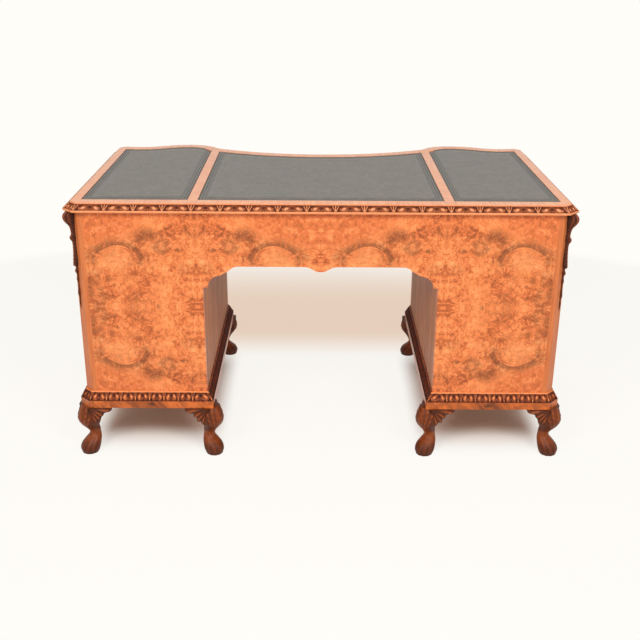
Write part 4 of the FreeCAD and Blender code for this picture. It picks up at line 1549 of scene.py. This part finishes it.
        before = set(bm.faces)
        points = sheet_of(bm, *self.ear_grid, shape)
        bmesh.ops.remove_doubles(bm, verts=points, dist=MERGE)
        front = [f for f in bm.faces if f not in before]
        grown = bmesh.ops.extrude_face_region(bm, geom=front)["geom"]
        moved = [v for v in grown if isinstance(v, bmesh.types.BMVert)]
        bmesh.ops.translate(bm, vec=-place.out * self.ear_depth, verts=moved)

    def build(self, maker: Maker, side: Side) -> None:
        """Models the leg and puts it in place of the plain one.

        Args:
            maker: Maker of the pieces.
            side: Side of the desk.
        """
        bm = bmesh.new()
        self.post(bm)
        for place in self.ears:
            self.ear(bm, place)
        put_on(bm, side)
        node = f"leg_{side.word}_{self.name}"
        maker.piece(f"carved_{node}", bm, maker.finishes.legs, node, "carved_walnut")


@dataclass
class Legs:
    """The eight legs of the desk."""

    plan: Plan
    band: float = 0.0186
    ear_face: float = 0.012
    outer_shift: float = 0.0047
    inner_shift: float = 0.0028
    inner_set_in: float = 0.011
    nose_shift: float = 0.008

    def places(self) -> list[CabrioleLeg]:
        """Legs of the right pedestal.

        Returns:
            The four legs.
        """
        plan, band = self.plan, self.band
        east, north = Vector((1.0, 0.0, 0.0)), Vector((0.0, 1.0, 0.0))
        slide = band * math.tan(math.radians(22.5))
        back = (plan.spot(plan.half_width - plan.cant + slide, -band)
                + plan.spot(plan.half_width + band, plan.cant - slide)) / 2 + east * self.outer_shift
        front = sum(plan.front_cant(band), Vector()) / 2 + east * self.outer_shift
        inner_back = plan.spot(plan.kneehole - band - self.inner_shift, self.inner_set_in - band)
        nose_out = Vector((-math.sin(plan.nose_angle), math.cos(plan.nose_angle), 0.0))
        nose = plan.nose + nose_out * band
        run = (nose.x - (plan.kneehole - band)) / math.cos(plan.nose_angle)
        inner_front = nose + plan.return_way * (run / 2) + nose_out * self.nose_shift
        at_back = EarPlace(-east, -north, self.ear_face - plan.back)
        from_back = EarPlace(east, -north, self.ear_face - plan.back)
        at_end, at_kneehole = plan.half_width + self.ear_face, self.ear_face - plan.kneehole

        def along_front(x: float) -> Vector:
            """Line of the drawer side under the band."""
            return plan.front(x, self.ear_face)

        return [
            CabrioleLeg("back_outer", back, Vector((DIAGONAL, -DIAGONAL, 0.0)),
                        (at_back, EarPlace(north, east, at_end)), ear_scale=0.82),
            CabrioleLeg("back_inner", inner_back, Vector((-DIAGONAL, -DIAGONAL, 0.0)),
                        (from_back, EarPlace(north, -east, at_kneehole)), ear_scale=0.93),
            CabrioleLeg("front_outer", front, Vector((DIAGONAL, DIAGONAL, 0.0)),
                        (EarPlace(-east, north, 0.0, along_front), EarPlace(-north, east, at_end))),
            CabrioleLeg("front_inner", inner_front, nose_out,
                        (EarPlace(east, north, 0.0, along_front), EarPlace(-north, -east, at_kneehole))),
        ]

    def build(self, maker: Maker) -> None:
        """Models all the legs.

        Args:
            maker: Maker of the pieces.
        """
        for leg in self.places():
            for side in Side:
                leg.build(maker, side)


@dataclass
class CornerDrops:
    """Carved drops of a scroll, a leaf and husks on the canted corners.

    Reaches, in millimetres, and widths, in shares of the half width, go by the share of the length from the
    top.
    """

    plan: Plan
    top: float = 0.747
    length: float = 0.291
    half_width: float = 0.0085
    shift: float = 0.005
    sunk: float = 0.0005
    cut: float = 0.0022
    reeds: float = 2.5
    husks: float = 26.0
    grid: tuple[int, int] = (26, 150)
    reaches: tuple[Pair, ...] = (
        (0.000, 22.0), (0.030, 32.0), (0.062, 34.0), (0.100, 28.5), (0.150, 16.5), (0.200, 12.5),
        (0.235, 12.5), (0.262, 17.5), (0.285, 15.0), (0.310, 10.5), (0.400, 10.0), (0.520, 13.0),
        (0.545, 13.0), (0.562, 6.5), (0.605, 10.0), (0.640, 5.0), (0.690, 7.0), (0.730, 3.8), (0.840, 7.0),
        (0.880, 3.0), (0.930, 4.5), (1.000, 1.0))
    widths: tuple[Pair, ...] = (
        (0.000, 0.95), (0.062, 1.00), (0.100, 0.88), (0.150, 0.66), (0.200, 0.60), (0.262, 0.74),
        (0.310, 0.52), (0.400, 0.64), (0.520, 0.74), (0.562, 0.44), (0.605, 0.56), (0.640, 0.34),
        (0.690, 0.44), (0.730, 0.26), (0.840, 0.42), (0.880, 0.24), (0.930, 0.28), (1.000, 0.06))

    def drop(self, bm: Model, corner: Vector, outward: Vector) -> None:
        """Models one drop.

        Args:
            bm: Mesh that it is added to.
            corner: Middle of the canted corner.
            outward: Its outward direction.
        """
        across = Vector((-outward.y, outward.x, 0.0))

        def shape(side: float, down: float) -> tuple[Vector, float]:
            """Point of the drop and its relief.

            Args:
                side: Share of the width.
                down: Share of the length.

            Returns:
                The point and its relief.
            """
            turn = side * 2 - 1
            reach = through(self.reaches, down) / 1000
            half = through(self.widths, down) * self.half_width
            dome = (1 - abs(turn) ** 2.6) ** 0.62
            scroll = 1 - ease(down, 0.10, 0.17)
            reeds = 0.5 + 0.5 * math.cos(turn * 2 * math.pi * self.reeds)
            husk = 0.5 + 0.5 * math.cos(2 * math.pi * (abs(turn) * 1.6 - down * self.husks))
            rib = ridge(turn, 0.20)
            crest = scroll * max(reeds, rib) + (1 - scroll) * max(husk * 0.85, rib)
            reach = max(0.0, reach * dome - self.cut * (1 - crest) * ease(reach, 0.002, 0.008))
            point = corner - outward * self.sunk + across * (half * turn) + outward * reach
            return point + Vector((0.0, 0.0, self.top - down * self.length)), 0.15 + 0.65 * crest * dome

        sheet_of(bm, *self.grid, shape)

    def build(self, maker: Maker) -> None:
        """Models the four drops and puts them in place of the plain ones.

        Args:
            maker: Maker of the pieces.
        """
        bm = bmesh.new()
        plan = self.plan
        for sign in (-1, 1):
            for ends, way in ((plan.back_cant(), -DIAGONAL), (plan.front_cant(), DIAGONAL)):
                end = max(ends, key=lambda point: point.x)
                middle = (ends[0] + ends[1]) / 2
                middle += (end - middle).normalized() * self.shift
                self.drop(bm, Vector((sign * middle.x, middle.y, 0.0)), Vector((sign * DIAGONAL, way, 0.0)))
        maker.piece("carved_corner_drops", bm, maker.finishes.drops, "corner_carvings", "carved_walnut")


@dataclass
class WritingLeather:
    """One leather of the top, with a rolled edge and tooled lines that follow its outline.

    A row of the section has its distance from the edge, how far it sinks, and how dark it is tooled.
    """

    name: str
    plan: Plan
    left: float
    right: float
    near: float = 0.0392
    far: float = 0.0392
    top: float = 0.7695
    columns: int = 60
    rows: int = 24
    section: tuple[Triple, ...] = (
        (0.0, 0.0035, 1.0), (0.0003, 0.0010, 1.0), (0.0012, 0.0002, 0.95), (0.0034, 0.0, 0.75),
        (0.0050, 0.0, 0.22), (0.0092, 0.0, 0.16), (0.0098, 0.0006, 0.9), (0.0112, 0.0006, 0.9),
        (0.0118, 0.0, 0.12), (0.0160, 0.0, 0.10), (0.0166, 0.0005, 0.6), (0.0174, 0.0005, 0.6),
        (0.0180, 0.0, 0.08), (0.0196, 0.0, 0.06), (0.0202, 0.0005, 0.6), (0.0210, 0.0005, 0.6),
        (0.0216, 0.0, 0.0))

    def far_point(self, x: float) -> Vector:
        """Point of the far edge at x.

        Args:
            x: Place across the desk.

        Returns:
            The point.
        """
        plan = self.plan
        if self.left < 0 < self.right:
            radius = plan.centre_radius + self.far
            return Vector((x, plan.centre.y - math.sqrt(radius**2 - x**2), 0.0))
        return Vector((x, plan.front(abs(x), -self.far).y, 0.0))

    def places(self, span: float, steps: int) -> list[float]:
        """Places of the grid lines over a span: close at the tooled edges, wide in the middle.

        Args:
            span: The span.
            steps: Number of divisions in the middle.

        Returns:
            The places, in order.
        """
        edge = [place for place, _, _ in self.section]
        inner = span - 2 * edge[-1]
        middle = [edge[-1] + inner * i / steps for i in range(1, steps)]
        return edge + middle + [span - place for place in reversed(edge)]

    def build(self, maker: Maker) -> None:
        """Models the leather as a grid that follows its outline, and puts it in place of the plain one.

        Args:
            maker: Maker of the pieces.
        """
        bm = bmesh.new()
        near = self.plan.spot(0.0, self.near).y
        columns = self.places(self.right - self.left, self.columns)
        rows = self.places(1.0, self.rows)
        edge = self.section[-1][0]
        sinks = [(place, sink) for place, sink, _ in self.section]
        inks = [(place, ink) for place, _, ink in self.section]

        def shape(over: float, back: float) -> tuple[Vector, float]:
            """Point of the leather and its tooling.

            Args:
                over: Share of the width.
                back: Share of the depth.

            Returns:
                The point and its tooling.
            """
            x = self.left + columns[round(over * (len(columns) - 1))]
            span = self.far_point(x).y - near
            share = rows[round(back * (len(rows) - 1))]
            depth = share if share <= edge else share - 1 + span
            if edge < share < 1 - edge:
                depth = edge + (span - 2 * edge) * (share - edge) / (1 - 2 * edge)
            side = min(x - self.left, self.right - x, depth, span - depth)
            return Vector((x, near + depth, self.top - level(sinks, side))), level(inks, side)

        sheet_of(bm, len(columns) - 1, len(rows) - 1, shape, "tooling")
        maker.piece(f"tooled_{self.name}", bm, maker.finishes.leather, self.name, "leather")


@dataclass
class Top:
    """Leathers of the writing top."""

    plan: Plan
    fit: float = 0.0002

    def build(self, maker: Maker) -> None:
        """Models the three leathers.

        Args:
            maker: Maker of the pieces.
        """
        inner, outer = BAR - BAR_HALF - self.fit, BAR + BAR_HALF + self.fit
        end = self.plan.half_width - END_BORDER - self.fit
        spans = {"left": (-end, -outer), "centre": (-inner, inner), "right": (outer, end)}
        for word, (left, right) in spans.items():
            WritingLeather(f"leather_{word}", self.plan, left, right).build(maker)


class Carcass:
    """Nodes that keep their shape and only get a finish."""

    def dress(self, maker: Maker) -> None:
        """Puts the finishes on.

        Args:
            maker: Maker of the pieces.
        """
        finishes = maker.finishes
        for words, material in (
                ("back_panel", finishes.back), ("end_panel", finishes.ends), ("corner_posts", finishes.posts),
                ("kneehole_panel", finishes.kneehole), ("drawer_rails", finishes.rails),
                ("centre_rails", finishes.rails), ("base_band", finishes.band),
                ("pedestal_floors", finishes.oak), ("drawer_runners", finishes.oak),
                ("drawer_box", finishes.oak), ("top_board", finishes.oak), ("top_border", finishes.border),
                ("drawer_fittings", finishes.brass), ("drawer_handle", finishes.brass)):
            maker.dress(words, material)
        self.dress_fronts(maker)

    @staticmethod
    def dress_fronts(maker: Maker) -> None:
        """Gives each drawer front a burr that is framed by its own crossbanding.

        Args:
            maker: Maker of the pieces.
        """
        for word in ("centre", "right_upper", "right_middle", "right_lower"):
            low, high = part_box(f"drawer_front_{word}")
            left, centre, leaf = low.x, (low.x + high.x) / 2, (high.x - low.x) / 2
            if word == "centre":
                left, centre, leaf = -high.x, 0.0, 0.166
            veneer = BurrVeneer(
                f"burr_front_{word.replace('right_', '')}", Axis.X, leaf, centre, (low.z + high.z) / 2,
                reach=(high.z - low.z) / 2, seed=1.3 + low.z, front=(left, high.x, low.z, high.z))
            material = veneer.material()
            maker.dress(f"drawer_front_{word}", material)
            maker.dress(f"drawer_front_{word.replace('right', 'left')}", material)


@dataclass
class Studio:
    """Camera, lamps, floor and backdrop."""

    back: float
    eye: Vector = field(default_factory=lambda: Vector((-0.0160, -2.6008, 1.4412)))
    tilt: float = 0.3936
    roll: float = 0.0072
    yaw: float = -0.0059
    lens: float = 54.669
    rise: float = 0.0346
    sensor: float = 36.0
    aim: Vector = field(default_factory=lambda: Vector((0.0, 0.0, 0.4)))
    lamplight: Colour = (1.0, 0.985, 0.965)
    paving: Colour = (0.97, 0.965, 0.95)
    # Floor colour under the pedestals, a painted shadow.
    painted_shadow_under: Colour = (0.80, 0.70, 0.62)
    # Tint of the floor's glow behind the desk, a painted warm shade.
    painted_shade_glow: Colour = (0.84, 0.66, 0.53)
    room_light: Colour = (1.0, 0.87, 0.77)
    pedestal: float = 0.51

    def camera(self) -> None:
        """Sets the camera where the picture was taken from."""
        data = bpy.data.cameras.new("camera")
        data.lens = self.lens
        data.sensor_width = self.sensor
        data.shift_y = self.rise
        camera = placed("camera", data)
        turn = (Matrix.Rotation(self.yaw, 4, "Z") @ Matrix.Rotation(math.pi / 2 - self.tilt, 4, "X")
                @ Matrix.Rotation(self.roll, 4, "Z"))
        camera.matrix_world = Matrix.Translation(self.eye + Vector((0.0, self.back, 0.0))) @ turn
        bpy.context.scene.camera = camera

    def lamp(self, name: str, place: Vector, size: float, watts: float) -> None:
        """Hangs one soft lamp.

        Args:
            name: Name of the lamp.
            place: Where it hangs.
            size: Side of its square.
            watts: Its power.
        """
        data = bpy.data.lights.new(name, "AREA")
        data.size = size
        data.energy = watts
        data.color = self.lamplight
        lamp = placed(name, data)
        lamp.location = place
        lamp.rotation_euler = (self.aim - place).to_track_quat("-Z", "Y").to_euler()

    def lamps(self) -> None:
        """Hangs the lamps."""
        for side in Side:
            self.lamp(side.word, Vector((1.7 * side.value, -3.5, 3.1)), 1.3, 85.0)
        self.lamp("top", Vector((0.0, -0.9, 3.4)), 2.2, 14.0)

    @staticmethod
    def seen(shader: Shader) -> Value:
        """Share of rays that show the backdrop itself: from the camera, or through gloss and glass.

        Args:
            shader: The material being made.

        Returns:
            The share.
        """
        path = shader.node("ShaderNodeLightPath", {}, {}).socket.node.outputs
        eye, gloss, glass = (Value(shader, path[name]) for name in (
            "Is Camera Ray", "Is Glossy Ray", "Is Transmission Ray"))
        return eye.most(gloss).most(glass)

    def floor(self) -> None:
        """Lays a plain pale floor that keeps the shadow, with a painted shadow on its colour under the
        pedestals and a glow tinted as painted warm shade behind the desk.
        """
        bm = bmesh.new()
        bmesh.ops.create_grid(bm, x_segments=8, y_segments=8, size=9.0)
        shader = Shader("pale_floor")
        x, y, _ = shader.split(shader.place())
        wide = abs(x)
        # Under the pedestals the floor's colour takes a painted shadow, and less white glow is mixed in so
        # the rendered shadow shows.
        under = (1 - abs(wide - self.pedestal).step(0.14, 0.23)) * (1 - abs(y).step(0.22, 0.42))
        shader.finish(Base_Color=shader.mix(under, self.paving, self.painted_shadow_under), Roughness=0.8)
        surface = Value(shader, shader.surface.outputs[0])
        # Behind the desk the floor's glow is tinted warm: a painted shade standing for the desk's shadow.
        behind = y.step(0.30, 0.60) * (1 - wide.step(0.40, 0.80)) * (1 - y.step(0.9, 1.7))
        tint = shader.mix(behind, BACKDROP, self.painted_shade_glow)
        glow = shader.node("ShaderNodeEmission", {}, {"Color": tint, "Strength": 1.0}, "Emission")
        far = ((x * 0.8) ** 2.0 + y ** 2.0).step(1.0, 4.0)
        share = self.seen(shader) * (0.90 - under * 0.88).most(far)
        mixed = shader.node("ShaderNodeMixShader", {}, {"Fac": share, "Shader": surface, "Shader_001": glow})
        shader.feed(shader.output.inputs["Surface"], mixed)
        placed("floor", mesh_of("floor", bm, shader.material))

    def world(self) -> None:
        """Makes the pale room around the desk."""
        world = bpy.data.worlds.new("room")
        bpy.context.scene.world = world
        shader = Shader("room", world)
        seen = self.seen(shader)
        warmth = shader.mix(seen, self.room_light, BACKDROP)
        shader.finish(Color=warmth, Strength=seen * 0.70 + 0.30)

    def build(self) -> None:
        """Sets the whole studio up."""
        self.camera()
        self.lamps()
        self.floor()
        self.world()
        bpy.context.scene.view_settings.view_transform = "Standard"


def main() -> None:
    """Builds and dresses the desk."""
    logging.basicConfig(level=logging.INFO, format="%(message)s")
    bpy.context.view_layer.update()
    plan = Plan(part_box("back_panel")[0].y)
    maker = Maker(Finishes())
    Studio(plan.back).build()
    Carcass().dress(maker)
    Edges(plan).build(maker)
    Legs(plan).build(maker)
    CornerDrops(plan).build(maker)
    Top(plan).build(maker)
    LOG.info("%d pieces made", maker.made)


if __name__ == "__main__":
    main()
